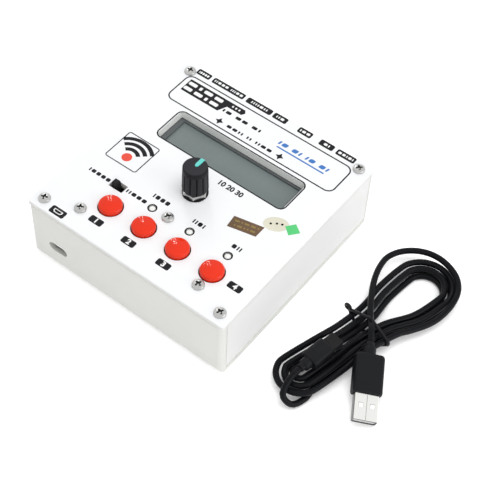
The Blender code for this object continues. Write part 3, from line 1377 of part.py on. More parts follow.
def make_plug_mini():
    frame = plug_mini_frame()
    plug_body("small_plug_body", PLUG_MINI_RELIEF, PLUG_MINI_LENGTH, PLUG_MINI_WIDTH,
              PLUG_MINI_HEIGHT, PLUG_A_ROUND, frame)
    start = PLUG_MINI_RELIEF + PLUG_MINI_LENGTH + SEAT_GAP
    at = frame @ Matrix.Translation(Vector((start, 0.0, 0.0)))
    plug_shell("small_plug_shell", SHELL_MINI_LENGTH, SHELL_MINI_WIDTH, SHELL_MINI_HEIGHT,
               SHELL_MINI_SKIN, at, SHELL_MINI_SKIN)


def main():
    start_scene()
    make_base_tray()
    make_side_panels()
    make_top_panel()
    make_feet()
    make_screws()
    make_panel_spacers()
    make_boards()
    make_display()
    make_buttons()
    make_tact_switches()
    make_lamps()
    make_speed_knob()
    make_potentiometer()
    make_slide_switch()
    make_ports()
    make_sounder()
    make_lead()


main()
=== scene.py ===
"""Dresses the keyer and its lead for a render: surfaces, prints, lamps and camera.

Lengths are in metres in the part's frame: the origin is the middle of the box's
footprint on the bench, +X to the right along its front, +Y away from the user.
"""
import json
import math

import bmesh
import bpy
import numpy as np
from bpy.props import FloatProperty, FloatVectorProperty, IntProperty, PointerProperty
from bpy.types import Operator, Panel, PropertyGroup
from mathutils import Matrix, Vector

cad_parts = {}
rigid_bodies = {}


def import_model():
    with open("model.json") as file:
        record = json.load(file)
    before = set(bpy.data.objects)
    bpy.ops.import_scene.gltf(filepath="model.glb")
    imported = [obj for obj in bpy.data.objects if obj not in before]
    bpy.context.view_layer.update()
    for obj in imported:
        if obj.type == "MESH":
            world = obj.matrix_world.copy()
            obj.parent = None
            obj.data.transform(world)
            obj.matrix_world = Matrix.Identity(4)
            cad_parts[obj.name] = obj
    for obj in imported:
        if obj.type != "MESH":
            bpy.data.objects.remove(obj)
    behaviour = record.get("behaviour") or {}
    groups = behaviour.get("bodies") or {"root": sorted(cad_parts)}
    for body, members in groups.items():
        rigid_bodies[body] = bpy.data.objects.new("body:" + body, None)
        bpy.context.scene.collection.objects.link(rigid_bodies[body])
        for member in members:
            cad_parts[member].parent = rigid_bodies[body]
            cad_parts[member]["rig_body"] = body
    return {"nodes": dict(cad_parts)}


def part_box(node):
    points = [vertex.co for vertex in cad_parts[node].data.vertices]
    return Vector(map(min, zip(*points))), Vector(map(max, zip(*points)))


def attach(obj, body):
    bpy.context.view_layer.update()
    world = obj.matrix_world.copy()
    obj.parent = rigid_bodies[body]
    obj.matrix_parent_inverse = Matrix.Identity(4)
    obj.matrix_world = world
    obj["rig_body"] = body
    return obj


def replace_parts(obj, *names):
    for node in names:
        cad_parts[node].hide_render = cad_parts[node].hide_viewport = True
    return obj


bl_info = {
    "name": "Morse keyer dresser",
    "version": (1, 0, 0),
    "blender": (4, 5, 0),
    "location": "View3D > Sidebar > Keyer",
    "description": "Builds the visible surfaces of a bench keyer and its tied lead",
    "category": "Object",
}

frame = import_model()
MM = 0.001
WIDE_GRAIN = 60.0
GRAIN_DEPTH = 0.05 * MM


def size(name, default, description):
    """A length in metres that a user may change, its default given in millimetres."""
    return FloatProperty(name=name, description=description, default=default * MM,
                         min=0.0, precision=5, unit="LENGTH")


def place(name, default, description):
    """A point or offset in metres, its default given in millimetres."""
    return FloatVectorProperty(name=name, description=description, size=len(default),
                               default=[value * MM for value in default], precision=5,
                               subtype="XYZ" if len(default) == 3 else "NONE", unit="LENGTH")


def colour(name, default, description):
    """A colour that a user may change, each channel from 0 to 1."""
    return FloatVectorProperty(name=name, description=description, size=3, default=default,
                               min=0.0, max=1.0, subtype="COLOR")


class KeyerSizes(PropertyGroup):
    """Places and sizes of the pieces on the panel"""
    panel_top: size("Panel top", 35.7, "Height of the control panel's upper face")
    print_lift: size("Print lift", 0.02, "How far a print stands on the panel")
    button_radius: size("Cap radius", 5.25, "Radius of a push button's cap")
    button_rise: size("Cap rise", 2.9, "Height of the cap above the panel")
    button_round: size("Cap edge", 1.15, "Rounding of the cap's upper edge")
    button_dome: size("Cap dome", 0.55, "Crown of the cap's top")
    button_first_x: size("First cap inset", 22.87, "Distance of the first cap left of the middle")
    button_pitch: size("Cap spacing", 18.33, "Distance between the caps")
    button_y: size("Cap row", 35.0, "Distance of the caps' row in front of the middle")
    knob_y: size("Knob row", 6.1, "Distance of the knob in front of the middle")
    knob_low: size("Knob underside", 39.2, "Height of the knob's lower edge")
    knob_height: size("Knob height", 13.3, "Height of the knob itself")
    knob_base: size("Knob base radius", 5.85, "Radius at the knob's lower edge")
    knob_top: size("Knob top radius", 5.5, "Radius at the knob's upper edge")
    knob_bevel: size("Knob bevel", 0.7, "Bevel at the knob's upper edge")
    groove_depth: size("Groove depth", 0.75, "Depth of the grip grooves")
    groove_stop: size("Groove stop", 2.6, "Smooth band above the grooves")
    cable: size("Cable diameter", 2.8, "Diameter of the lead's cable")


class KeyerColours(PropertyGroup):
    """Base colours of the finishes"""
    panel: colour("Panel", (0.87, 0.885, 0.9), "Coating of the panel and the tray")
    tray: colour("Tray", (0.79, 0.79, 0.76), "Coating of the tray's front and back")
    side: colour("Side walls", (0.84, 0.845, 0.835), "Coating of the side panels")
    ink: colour("Ink", (0.012, 0.012, 0.014), "Printed black")
    paper: colour("Light ink", (0.86, 0.87, 0.87), "Light marks on dark prints")
    blue_ink: colour("Blue ink", (0.035, 0.17, 0.5), "Printed blue")
    red_ink: colour("Red ink", (0.78, 0.06, 0.03), "Printed red")
    button: colour("Button", (0.785, 0.0255, 0.0015), "Moulded button caps")
    black: colour("Black plastic", (0.012, 0.012, 0.014), "Moulded black parts")
    cable: colour("Cable", (0.005, 0.0055, 0.007), "Cable jacket")
    pointer: colour("Pointer", (0.11, 0.6, 0.55), "Inlay of the knob")
    glass: colour("Display", (0.178, 0.213, 0.209), "Unlit view of the display")
    metal: colour("Bright metal", (0.52, 0.52, 0.51), "Plated steel")


def sizes():
    return bpy.context.scene.keyer_sizes


def colours():
    return bpy.context.scene.keyer_colours


def in_mm(*values):
    """Millimetres as an array in metres: single values, or rows of them."""
    return np.array(values, dtype=float) * MM


def box_middle(node):
    """The middle of a frame node's box."""
    low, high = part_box(node)
    return (np.array(low) + np.array(high)) / 2


def add_object(name, mesh, rides="enclosure"):
    """A mesh as an object at the origin and the body that carries it."""
    held = bpy.data.objects.new(name, mesh)
    bpy.context.scene.collection.objects.link(held)
    bpy.context.view_layer.update()
    if rides:
        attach(held, rides)
    return held


def make_object(name, points, faces, look, smooth=True, rides="enclosure", slot=None):
    """An object from points (n, 3) and faces, lists of point numbers."""
    mesh = bpy.data.meshes.new(name)
    mesh.from_pydata(np.asarray(points, dtype=float).tolist(), [], faces)
    mesh.materials.append(look)
    mesh.polygons.foreach_set("use_smooth", np.full(len(mesh.polygons), smooth))
    mesh.update()
    return add_object(name, mesh, rides)


def grid_faces(rows, columns, wrap=True):
    """Quads between the rows of a grid of points, each row closed on itself if wrapped."""
    last = columns if wrap else columns - 1
    row, column = np.meshgrid(np.arange(rows - 1), np.arange(last), indexing="ij")
    after = (column + 1) % columns
    corners = [row * columns + column, row * columns + after,
               (row + 1) * columns + after, (row + 1) * columns + column]
    return np.stack(corners, axis=-1).reshape(-1, 4).tolist()


def loft(name, rings, look, smooth=True, rides="enclosure", slot=None, sharp=35.0):
    """A closed skin over rings (n, m, 3), seen anticlockwise from the last ring, with a
    fan of triangles from the middle of the first and of the last ring."""
    rings = np.asarray(rings, dtype=float)
    count, around = rings.shape[:2]
    ends = rings[[0, -1]].mean(axis=1)
    points = np.concatenate([rings.reshape(-1, 3), ends])
    here = np.arange(around)
    after = (here + 1) % around
    first, last = (np.full(around, count * around + k) for k in range(2))
    start = (count - 1) * around
    fans = np.stack([first, after, here, last, start + here, start + after], -1)
    faces = grid_faces(count, around) + fans.reshape(-1, 3).tolist()
    held = make_object(name, points, faces, look, smooth, rides, slot)
    if smooth:
        work = bmesh.new()
        work.from_mesh(held.data)
        sharpen(work, sharp)
        work.to_mesh(held.data)
        work.free()
    return held


def sharpen(work, degrees):
    """Marks the edges that turn by more than the angle, and open ones, as sharp or not:
    an edge stays smooth where its two faces meet within the angle."""
    limit = math.radians(degrees)
    for edge in work.edges:
        edge.smooth = not edge.is_manifold or edge.calc_face_angle(0.0) < limit


def raised(outline, heights):
    """The outline (n, 2) at each height, as rings (k, n, 3)."""
    return np.array([np.column_stack([outline, np.full(len(outline), height)])
                     for height in heights])


def turned_rings(profile, angle):
    """The profile (radius, height) at each angle t, as rings: x = r cos t, y = r sin t,
    z = h."""
    radius, height = np.asarray(profile, dtype=float).T[:, :, None]
    return np.stack([radius * np.cos(angle), radius * np.sin(angle),
                     np.broadcast_to(height, (len(height), len(angle)))], axis=-1)


def revolve(name, profile, at, look, faces=96, **kept):
    """The profile (radius, height) turned about the upright axis through the point `at`."""
    profile = np.maximum(profile, (1e-6, -np.inf))
    rings = turned_rings(profile, np.linspace(0.0, 2 * math.pi, faces, endpoint=False))
    return loft(name, rings + at, look, **kept)


def arc(centre, radius, start, end, steps):
    """Points (n, 2) at radius from centre, their angle running evenly in degrees."""
    angle = np.radians(np.linspace(start, end, steps))
    return np.stack([centre[0] + radius * np.cos(angle), centre[1] + radius * np.sin(angle)], -1)


def circle(radius, steps):
    """Points (n, 2) evenly round the origin."""
    return arc((0.0, 0.0), radius, 0.0, 360 - 360 / steps, steps)


def rounded_outline(width, height, corner, steps=6, middle=(0.0, 0.0)):
    """An anticlockwise rectangle with four quarter circles at its corners."""
    across, up = width / 2 - corner, height / 2 - corner
    corners = [((across, up), 0), ((-across, up), 90), ((-across, -up), 180), ((across, -up), 270)]
    points = [arc(centre, corner, turn, turn + 90, steps) for centre, turn in corners]
    return np.concatenate(points) + np.asarray(middle)


def moved(matrix, points):
    """Points (..., 3) turned and shifted by the matrix."""
    held = np.asarray(points, dtype=float)
    return held @ np.array(matrix.to_3x3()).T + np.array(matrix.translation)


def slab(name, outline, heights, look, slot, matrix=None):
    """A flat piece with the given outline (n, 2) between two heights, moved if asked."""
    rings = raised(outline, heights)
    if matrix is not None:
        rings = moved(matrix, rings)
    return loft(name, rings, look, smooth=False, slot=slot)


def joined(name, pieces, rides="enclosure"):
    """One object from several, each face keeping its own finish."""
    work = bmesh.new()
    looks = []
    for piece in pieces:
        before = len(work.faces)
        work.from_mesh(piece.data)
        held = list(piece.data.materials)
        looks += [look for look in held if look not in looks]
        work.faces.ensure_lookup_table()
        for face in work.faces[before:]:
            face.material_index = looks.index(held[face.material_index])
    mesh = bpy.data.meshes.new(name)
    work.to_mesh(mesh)
    work.free()
    for look in looks:
        mesh.materials.append(look)
    for piece in pieces:
        bpy.data.objects.remove(piece)
    return add_object(name, mesh, rides)


def dressed(node, look, degrees=30.0):
    """The frame's solid with its loose triangles merged and its curves shaded smooth."""
    source = frame["nodes"][node]
    work = bmesh.new()
    work.from_mesh(source.data)
    bmesh.ops.remove_doubles(work, verts=work.verts, dist=1e-6)
    bmesh.ops.dissolve_limit(work, angle_limit=math.radians(0.5), verts=work.verts,
                             edges=work.edges)
    sharpen(work, degrees)
    for face in work.faces:
        face.smooth = True
    mesh = bpy.data.meshes.new(node + "_skin")
    work.to_mesh(mesh)
    work.free()
    mesh.materials.append(look)
    held = add_object(node + "_skin", mesh, source["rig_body"])
    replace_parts(held, node)
    return held


def paint(held, look, rule):
    """Gives a second finish to the faces for which rule(centres, normals) is true."""
    mesh = held.data
    found = []
    for kind in ("center", "normal"):
        values = np.empty(len(mesh.polygons) * 3)
        mesh.polygons.foreach_get(kind, values)
        found.append(values.reshape(-1, 3))
    mesh.materials.append(look)
    which = np.empty(len(mesh.polygons), dtype=np.int32)
    mesh.polygons.foreach_get("material_index", which)
    which[rule(*found)] = len(mesh.materials) - 1
    mesh.polygons.foreach_set("material_index", which)
    mesh.update()
    return held


def math_node(tree, operation, *values, clamp=False):
    """The output of a math node fed, in order, by sockets or by plain numbers."""
    node = tree.nodes.new("ShaderNodeMath")
    node.operation = operation
    node.use_clamp = clamp
    for value, entry in zip(values, node.inputs):
        if isinstance(value, bpy.types.NodeSocket):
            tree.links.new(value, entry)
        else:
            entry.default_value = value
    return node.outputs[0]


def noise(tree, where, scale, detail, roughness=0.5):
    """The factor of a noise texture on the given coordinates."""
    node = tree.nodes.new("ShaderNodeTexNoise")
    node.inputs["Detail"].default_value = detail
    node.inputs["Roughness"].default_value = roughness
    tree.links.new(where, node.inputs["Vector"])
    if isinstance(scale, bpy.types.NodeSocket):
        tree.links.new(scale, node.inputs["Scale"])
    else:
        node.inputs["Scale"].default_value = scale
    return node.outputs["Fac"]


def coating_group():
    """Fine grain: two noises on the object's own coordinates vary the colour and the
    roughness a little and raise a small bump. The colour's value is 1 + shift (2 w - 1)
    for the wide noise w, and the roughness gains shift f for the fine noise f."""
    tree = bpy.data.node_groups.new("moulded_grain", "ShaderNodeTree")
    for label, kind, value in (("Colour", "Color", None), ("Roughness", "Float", 0.4),
                               ("Scale", "Float", 600.0), ("Shift", "Float", 0.04),
                               ("Relief", "Float", 0.05)):
        socket = tree.interface.new_socket(label, in_out="INPUT",
                                           socket_type="NodeSocket" + kind)
        if value is not None:
            socket.default_value = value
    for label, kind in (("Colour", "Color"), ("Roughness", "Float"), ("Normal", "Vector")):
        tree.interface.new_socket(label, in_out="OUTPUT", socket_type="NodeSocket" + kind)
    given = tree.nodes.new("NodeGroupInput").outputs
    end = tree.nodes.new("NodeGroupOutput").inputs
    where = tree.nodes.new("ShaderNodeTexCoord").outputs["Object"]
    fine = noise(tree, where, given["Scale"], 3.0, 0.6)
    wide = noise(tree, where, WIDE_GRAIN, 2.0)
    share = math_node(tree, "MULTIPLY_ADD", wide, 2.0, -1.0)
    share = math_node(tree, "MULTIPLY", share, given["Shift"])
    tint = tree.nodes.new("ShaderNodeHueSaturation")
    tree.links.new(math_node(tree, "ADD", share, 1.0), tint.inputs["Value"])
    tree.links.new(given["Colour"], tint.inputs["Color"])
    rough = math_node(tree, "MULTIPLY_ADD", fine, given["Shift"], given["Roughness"])
    bump = tree.nodes.new("ShaderNodeBump")
    bump.inputs["Distance"].default_value = GRAIN_DEPTH
    tree.links.new(given["Relief"], bump.inputs["Strength"])
    tree.links.new(fine, bump.inputs["Height"])
    tree.links.new(tint.outputs["Color"], end["Colour"])
    tree.links.new(rough, end["Roughness"])
    tree.links.new(bump.outputs["Normal"], end["Normal"])
    return tree


def finish_look(name, base, roughness, grain=600.0, shift=0.03, relief=0.05, **sockets):
    """A material whose grain comes from the shared group; other sockets are plain values."""
    found = bpy.data.materials.get(name)
    if found:
        return found
    look = bpy.data.materials.new(name)
    look.use_nodes = True
    look.diffuse_color = (*base, 1.0)
    nodes, links = look.node_tree.nodes, look.node_tree.links
    shader = nodes["Principled BSDF"]
    grained = nodes.new("ShaderNodeGroup")
    grained.node_tree = bpy.data.node_groups.get("moulded_grain") or coating_group()
    values = {"Colour": (*base, 1.0), "Roughness": roughness, "Scale": grain, "Shift": shift,
              "Relief": relief}
    for label, value in values.items():
        grained.inputs[label].default_value = value
    for label, target in (("Colour", "Base Color"), ("Roughness", "Roughness"),
                          ("Normal", "Normal")):
        links.new(grained.outputs[label], shader.inputs[target])
    for label, value in sockets.items():
        shader.inputs[label.replace("_", " ")].default_value = value
    return look


def panel_coat():
    return finish_look("panel_coat", colours().panel, 0.38, 900.0, 0.02, 0.06, Coat_Weight=0.15,
                       Coat_Roughness=0.25)


def tray_coat():
    return finish_look("tray_coat", colours().tray, 0.42, 900.0, 0.02, 0.05)


def side_coat():
    return finish_look("side_coat", colours().side, 0.42, 900.0, 0.02, 0.06)


# Painted light: a whiter, glossier coat than the panel's, so that the walls of the display's
# opening stand bright as if lit.
def opening_edge():
    return finish_look("opening_edge", (0.96, 0.965, 0.94), 0.45, 900.0, 0.01, 0.0,
                       Specular_IOR_Level=1.0, Coat_Weight=1.0, Coat_Roughness=0.4)


def print_black():
    return finish_look("print_black", colours().ink, 0.45, 1200.0, 0.05, 0.02,
                       Specular_IOR_Level=0.12)


def print_light():
    return finish_look("print_light", colours().paper, 0.5, 1200.0, 0.03, 0.02)


def print_blue():
    return finish_look("print_blue", colours().blue_ink, 0.45, 1200.0, 0.05, 0.02)


def print_red():
    return finish_look("print_red", colours().red_ink, 0.45, 1200.0, 0.05, 0.02)


def cap_red():
    return finish_look("cap_red", colours().button, 0.05, 700.0, 0.01, 0.0,
                       Specular_IOR_Level=0.3)


def knob_black(name="knob_black", share=1.0):
    return finish_look(name, [value * share for value in colours().black], 0.4, 1500.0, 0.06,
                       0.06, Specular_IOR_Level=0.12)


def bright_steel():
    return finish_look("bright_steel", colours().metal, 0.3, 400.0, 0.04, 0.02, Metallic=1.0)


def recess_shade():
    return finish_look("recess_shade", (0.09, 0.09, 0.09), 0.4, 500.0, 0.05, 0.03, Metallic=1.0)


def socket_metal():
    return finish_look("socket_metal", (0.7, 0.7, 0.69), 0.28, 500.0, 0.05, 0.03, Metallic=1.0)


def jacket():
    return finish_look("cable_jacket", colours().cable, 0.28, 900.0, 0.06, 0.04,
                       Specular_IOR_Level=0.1)


def moulding():
    return finish_look("plug_moulding", colours().cable, 0.42, 1400.0, 0.08, 0.06,
                       Specular_IOR_Level=0.17)


def brass_look():
    return finish_look("spacer_brass", (0.68, 0.47, 0.18), 0.25, 400.0, 0.05, 0.02, Metallic=1.0)


def board_look():
    return finish_look("board_green", (0.02, 0.13, 0.06), 0.35, 300.0, 0.15, 0.05)


def rubber_look():
    return finish_look("foot_rubber", (0.02, 0.02, 0.02), 0.7, 900.0, 0.1, 0.2)


# Black of moulded parts such as the lever, the switches and the jacks, also used as painted shade:
# the ring round each button cap and the washer under the knob.
def inner_black():
    return finish_look("inner_black", (0.008, 0.008, 0.009), 0.5, 900.0, 0.1, 0.1,
                       Specular_IOR_Level=0.2)


def print_brown():
    return finish_look("print_brown", (0.135, 0.08, 0.045), 0.5, 350.0, 0.5, 0.02)


def print_gold():
    return finish_look("print_gold", (0.25, 0.18, 0.05), 0.5, 500.0, 0.3, 0.02)


def print_cream():
    return finish_look("print_cream", (0.7, 0.68, 0.55), 0.5, 260.0, 0.12, 0.02)


def print_green():
    return finish_look("print_green", (0.1, 0.62, 0.2), 0.5, 300.0, 0.25, 0.02)


def pointer_inlay():
    return finish_look("pointer_inlay", colours().pointer, 0.35, 900.0, 0.04, 0.02)


def lamp_lens():
    return finish_look("lamp_lens", (0.86, 0.87, 0.86), 0.18, 500.0, 0.02, 0.01,
                       Coat_Weight=0.4, Coat_Roughness=0.05)


# Dark grey of the display's bezel, partly its own colour and partly painted shade along the
# window's rear and left edges.
def display_frame_grey():
    return finish_look("display_frame_grey", (0.1, 0.11, 0.115), 0.4, 700.0, 0.1, 0.05)


def port_shade():
    return finish_look("port_shade", (0.06, 0.06, 0.055), 0.4, 500.0, 0.05, 0.03, Metallic=1.0)


def shell_metal():
    return finish_look("shell_metal", (0.85, 0.855, 0.83), 0.24, 500.0, 0.03, 0.02, Metallic=1.0)


# Painted shade and reflection: dim metal for the plug shell's sides, end face and inner walls.
def shell_side():
    return finish_look("shell_side", (0.12, 0.12, 0.12), 0.25, 500.0, 0.03, 0.02, Metallic=1.0)


# Painted shadow: the dim rim round each latch hole of the plug shell.
def latch_rim():
    return finish_look("latch_rim", (0.25, 0.25, 0.24), 0.5, 500.0, 0.02, 0.0)


def latch_hole():
    return finish_look("latch_hole", (0.9, 0.9, 0.88), 0.5, 500.0, 0.02, 0.0)


def tongue_white():
    return finish_look("tongue_white", (0.8, 0.8, 0.78), 0.45)


def tie_black():
    return finish_look("tie_black", (0.008, 0.008, 0.01), 0.35, 1500.0, 0.1, 0.05,
                       Specular_IOR_Level=0.2)


def ink_heights(level):
    """The lower and the upper face of a print, one lift apart: the lowest level starts a
    share of a lift above the panel, and each further one a lift and a half higher."""
    lift, start, step = sizes().print_lift, 0.4, 1.5
    low = sizes().panel_top + lift * (start + step * level)
    return low, low + lift


def ink_pieces(name, outlines, look, level=0, middle=(0.0, 0.0), turn=0.0):
    """Thin printed pieces, each a raised outline (n, 2), turned and moved together."""
    cosine, sine = math.cos(math.radians(turn)), math.sin(math.radians(turn))
    points, faces, start = [], [], 0
    for outline in outlines:
        flat = np.asarray(outline) @ np.array([[cosine, sine], [-sine, cosine]]) + middle
        count = len(flat)
        points.append(raised(flat, ink_heights(level)).reshape(-1, 3))
        faces += (np.array(grid_faces(2, count)) + start).tolist()
        lower = np.arange(start, start + count)
        faces += [(lower + count).tolist(), lower[::-1].tolist()]
        start += 2 * count
    return make_object(name, np.concatenate(points), faces, look, False)


def ink_line(name, outer, inner, look):
    """A printed band between two outlines (n, 2) with as many points each."""
    low, high = ink_heights(0)
    rings = np.concatenate([raised(outer, (low, high)), raised(inner, (high, low))])
    count = len(outer)
    faces = np.array(grid_faces(5, count)) % (4 * count)
    return make_object(name, rings.reshape(-1, 3), faces.tolist(), look, False)


def frame_line(name, width, height, corner, line, middle, look):
    """A printed rectangle of one line with rounded corners."""
    outer = rounded_outline(width, height, corner, 10, middle)
    inner = rounded_outline(width - 2 * line, height - 2 * line, corner - line, 10, middle)
    return ink_line(name, outer, inner, look)


# The code of the first figures, and the units from one mark's start to the next.
ONE, TWO, THREE, FOUR = ".----", "..---", "...--", "....-"
CODE_STEPS = {".": 2, "-": 4, " ": 2}


def code_length(code):
    """Units along a row of marks, without the gap after the last one."""
    return sum(CODE_STEPS[mark] for mark in code) - 1


def code_outlines(code, unit, thick, middle=(0.0, 0.0), slant=0.0):
    """Dots one unit long and dashes three units long, a unit apart and three at a space,
    with their row centred on its middle; slant shears them to the right."""
    outlines, start = [], -code_length(code) * unit / 2
    for mark in code:
        if mark != " ":
            length = unit if mark == "." else 3 * unit
            outline = rounded_outline(length, thick, min(length, thick) * 0.3, 4)
            outline[:, 0] += start + length / 2 + slant * outline[:, 1]
            outlines.append(outline + middle)
        start += CODE_STEPS[mark] * unit
    return outlines


def numerals(name, text, height, middle, look, level=0):
    """Plain numerals of the built-in letter shapes, as a thin raised print: a figure takes
    seven tenths of its letter size, and its strokes are widened by a share of its height."""
    figure_share, widening = 0.7, 0.06
    curve = bpy.data.curves.new(name, "FONT")
    curve.body = text
    curve.size = height / figure_share
    curve.align_x = "CENTER"
    curve.align_y = "CENTER"
    curve.extrude = sizes().print_lift / 2
    curve.offset = height * widening
    held = bpy.data.objects.new(name + "_curve", curve)
    bpy.context.scene.collection.objects.link(held)
    bpy.context.view_layer.update()
    graph = bpy.context.evaluated_depsgraph_get()
    mesh = bpy.data.meshes.new_from_object(held.evaluated_get(graph))
    bpy.data.objects.remove(held)
    mesh.transform(Matrix.Translation(Vector((*middle, sum(ink_heights(level)) / 2))))
    mesh.name = name
    mesh.materials.clear()
    mesh.materials.append(look)
    return add_object(name, mesh)


class KEYER_OT_case(Operator):
    """Coats the tray, the side panels and the control panel and adds the feet"""
    bl_idname = "keyer.case"
    bl_label = "Case"

    def execute(self, context):
        """The panel's upright faces are coated like the tray, and its two ends like the side
        panels, as painted shade that keeps its edges as dark as the walls below; the walls of
        the display's opening are coated lighter, as painted light."""
        dressed("base_tray", tray_coat(), 12.0)
        panel = dressed("top_panel", panel_coat(), 12.0)
        window = in_mm(0.0, 18.3)
        reach = in_mm(40.0, 13.0)
        end = 45.0 * MM
        # Painted shade: the panel's upright faces and its ends take the darker coats of the walls
        # below.
        paint(panel, tray_coat(), lambda centre, normal: np.abs(normal[:, 2]) < 0.6)
        paint(panel, side_coat(), lambda centre, normal: (np.abs(normal[:, 0]) > 0.7)
              & (np.abs(centre[:, 0]) > end))
        # Painted light: the walls of the display's opening take the whiter, glossier coat.
        paint(panel, opening_edge(), lambda centre, normal: (np.abs(normal[:, 2]) < 0.6)
              & (np.abs(centre[:, :2] - window) < reach).all(axis=1))
        for side in ("left_side_panel", "right_side_panel"):
            dressed(side, side_coat(), 12.0)
        for i in range(1, 5):
            dressed(f"rubber_foot_{i}", rubber_look())
        return {"FINISHED"}


# Prints on the panel, in millimetres from its middle, to the right and to the rear. A frame
# is its width, depth, corner, line and middle; a row of marks its code, unit, thickness and
# middle; a rear pad its left end, right end and code.
FRAMES = {
    "header_frame": (92.6, 18.3, 3.8, 0.65, (-0.4, 39.05)),
    "display_frame": (71.2, 19.55, 3.3, 0.65, (-0.04, 18.5)),
    "badge_frame": (17.6, 17.6, 1.3, 0.5, (-35.8, -5.5)),
}
HEADER_BLOCK = ((-44.0, 37.8), (-22.6, 37.8), (-20.6, 42.5), (-12.6, 42.5), (-11.5, 44.2),
                (-12.6, 45.9), (-44.0, 45.9))
BLOCK_ROWS = (("-.--", 1.5, 2.0, (-33.6, 43.65)), ("--.-", 1.5, 2.0, (-33.9, 40.1)),
              ("...", 0.9, 1.1, (-16.6, 44.2)))
HEADER_ROW = (".- -- -.", 0.92, 1.7, (-10.2, 39.9))
MODEL_ROW = ("--.. .. ..--", 0.8, 1.6, (-1.0, 33.35))
SPARKS = ((-17.85, 33.4), (15.9, 33.4))
SPARK_REACH = (2.1, 1.0)
TITLE_ROW = (".- -. .- -.", 0.92, 2.2, (24.1, 40.2))
TITLE_SLANT = 0.25
TITLE_LINE = (25.5, 0.75, 0.2)
TITLE_LINE_PLACE = (24.05, 37.5)
REAR_PADS = (
    (-45.2, -37.65, ONE), (-36.1, -18.0, TWO + " " + THREE),
    (-16.4, -2.35, FOUR + ".."), (-1.3, 6.2, "..-"), (12.7, 20.0, ".--"),
    (24.5, 32.0, "-."), (33.7, 43.6, "--.-."),
)
REAR_PAD_Y = 52.1
REAR_MARGIN, REAR_UNIT = 1.0, 0.6
PAD_DEPTH, PAD_CORNER, PAD_MARK = 3.5, 0.8, 1.35
BUTTON_PADS = ((-22.5, -44.7), (-4.6, -44.7), (14.1, -44.6), (44.2, -35.25))
BUTTON_PAD_WIDTH = 6.8
PAD_NUMERAL, SPEED_NUMERAL = 2.5, 2.6
PORT_PAD = (7.8, 4.0)
PORT_PLACE = (-38.2, -51.2)
PORT_MIDDLE = (0.76, 0.6)
PORT_OUTLINE = ((-2.3, 0.95), (-2.3, -0.2), (-1.5, -0.95), (1.5, -0.95), (2.3, -0.2), (2.3, 0.95))
LABEL_ROWS = ((ONE, 0.68, 1.9, (-38.2, -24.4)), (TWO, 0.72, 1.9, (-18.0, -23.8)),
              (".---", 0.66, 2.2, (-8.4, -18.5)), ("..-.", 0.66, 2.2, (12.2, -18.7)),
              ("-..", 0.66, 2.2, (32.4, -18.75)))
SPEED_PLACE = (10.5, 5.0)
BADGE_PLACE = (-35.8, -9.4)
BADGE_DISC, BADGE_BANDS, BADGE_LINE = 2.4, (4.9, 8.0, 11.1), 1.9
BADGE_SPAN = (42.0, 138.0)
PLANK = ((-7.2, -3.2), (6.2, -3.2), (7.6, 3.0), (-6.6, 3.2))
PLANK_PLACE, PLANK_TURN = (28.2, -7.4), 13.0
PLANK_MARK = (0.75, 0.9)
PLANK_ROWS = {"picture_dashes": ("-.--.", (28.2, -6.2)), "picture_dots": (".-..-", (28.6, -8.6))}
OVAL = (5.6, 3.9)
OVAL_PLACE, OVAL_TURN = (37.6, 1.7), 28.0
OVAL_DOT = 0.55
OVAL_DOTS = ((35.6, 0.6), (37.7, 2.2), (39.8, 3.2))
KITE = ((-3.4, 0.0), (0.0, -3.6), (3.8, 0.0), (0.0, 3.4))
KITE_PLACE, KITE_TURN = (44.7, 3.7), 8.0


def marks(code, unit, thick, middle=(0.0, 0.0), slant=0.0):
    """The outlines of a row of marks given in millimetres."""
    return code_outlines(code, unit * MM, thick * MM, in_mm(*middle), slant)


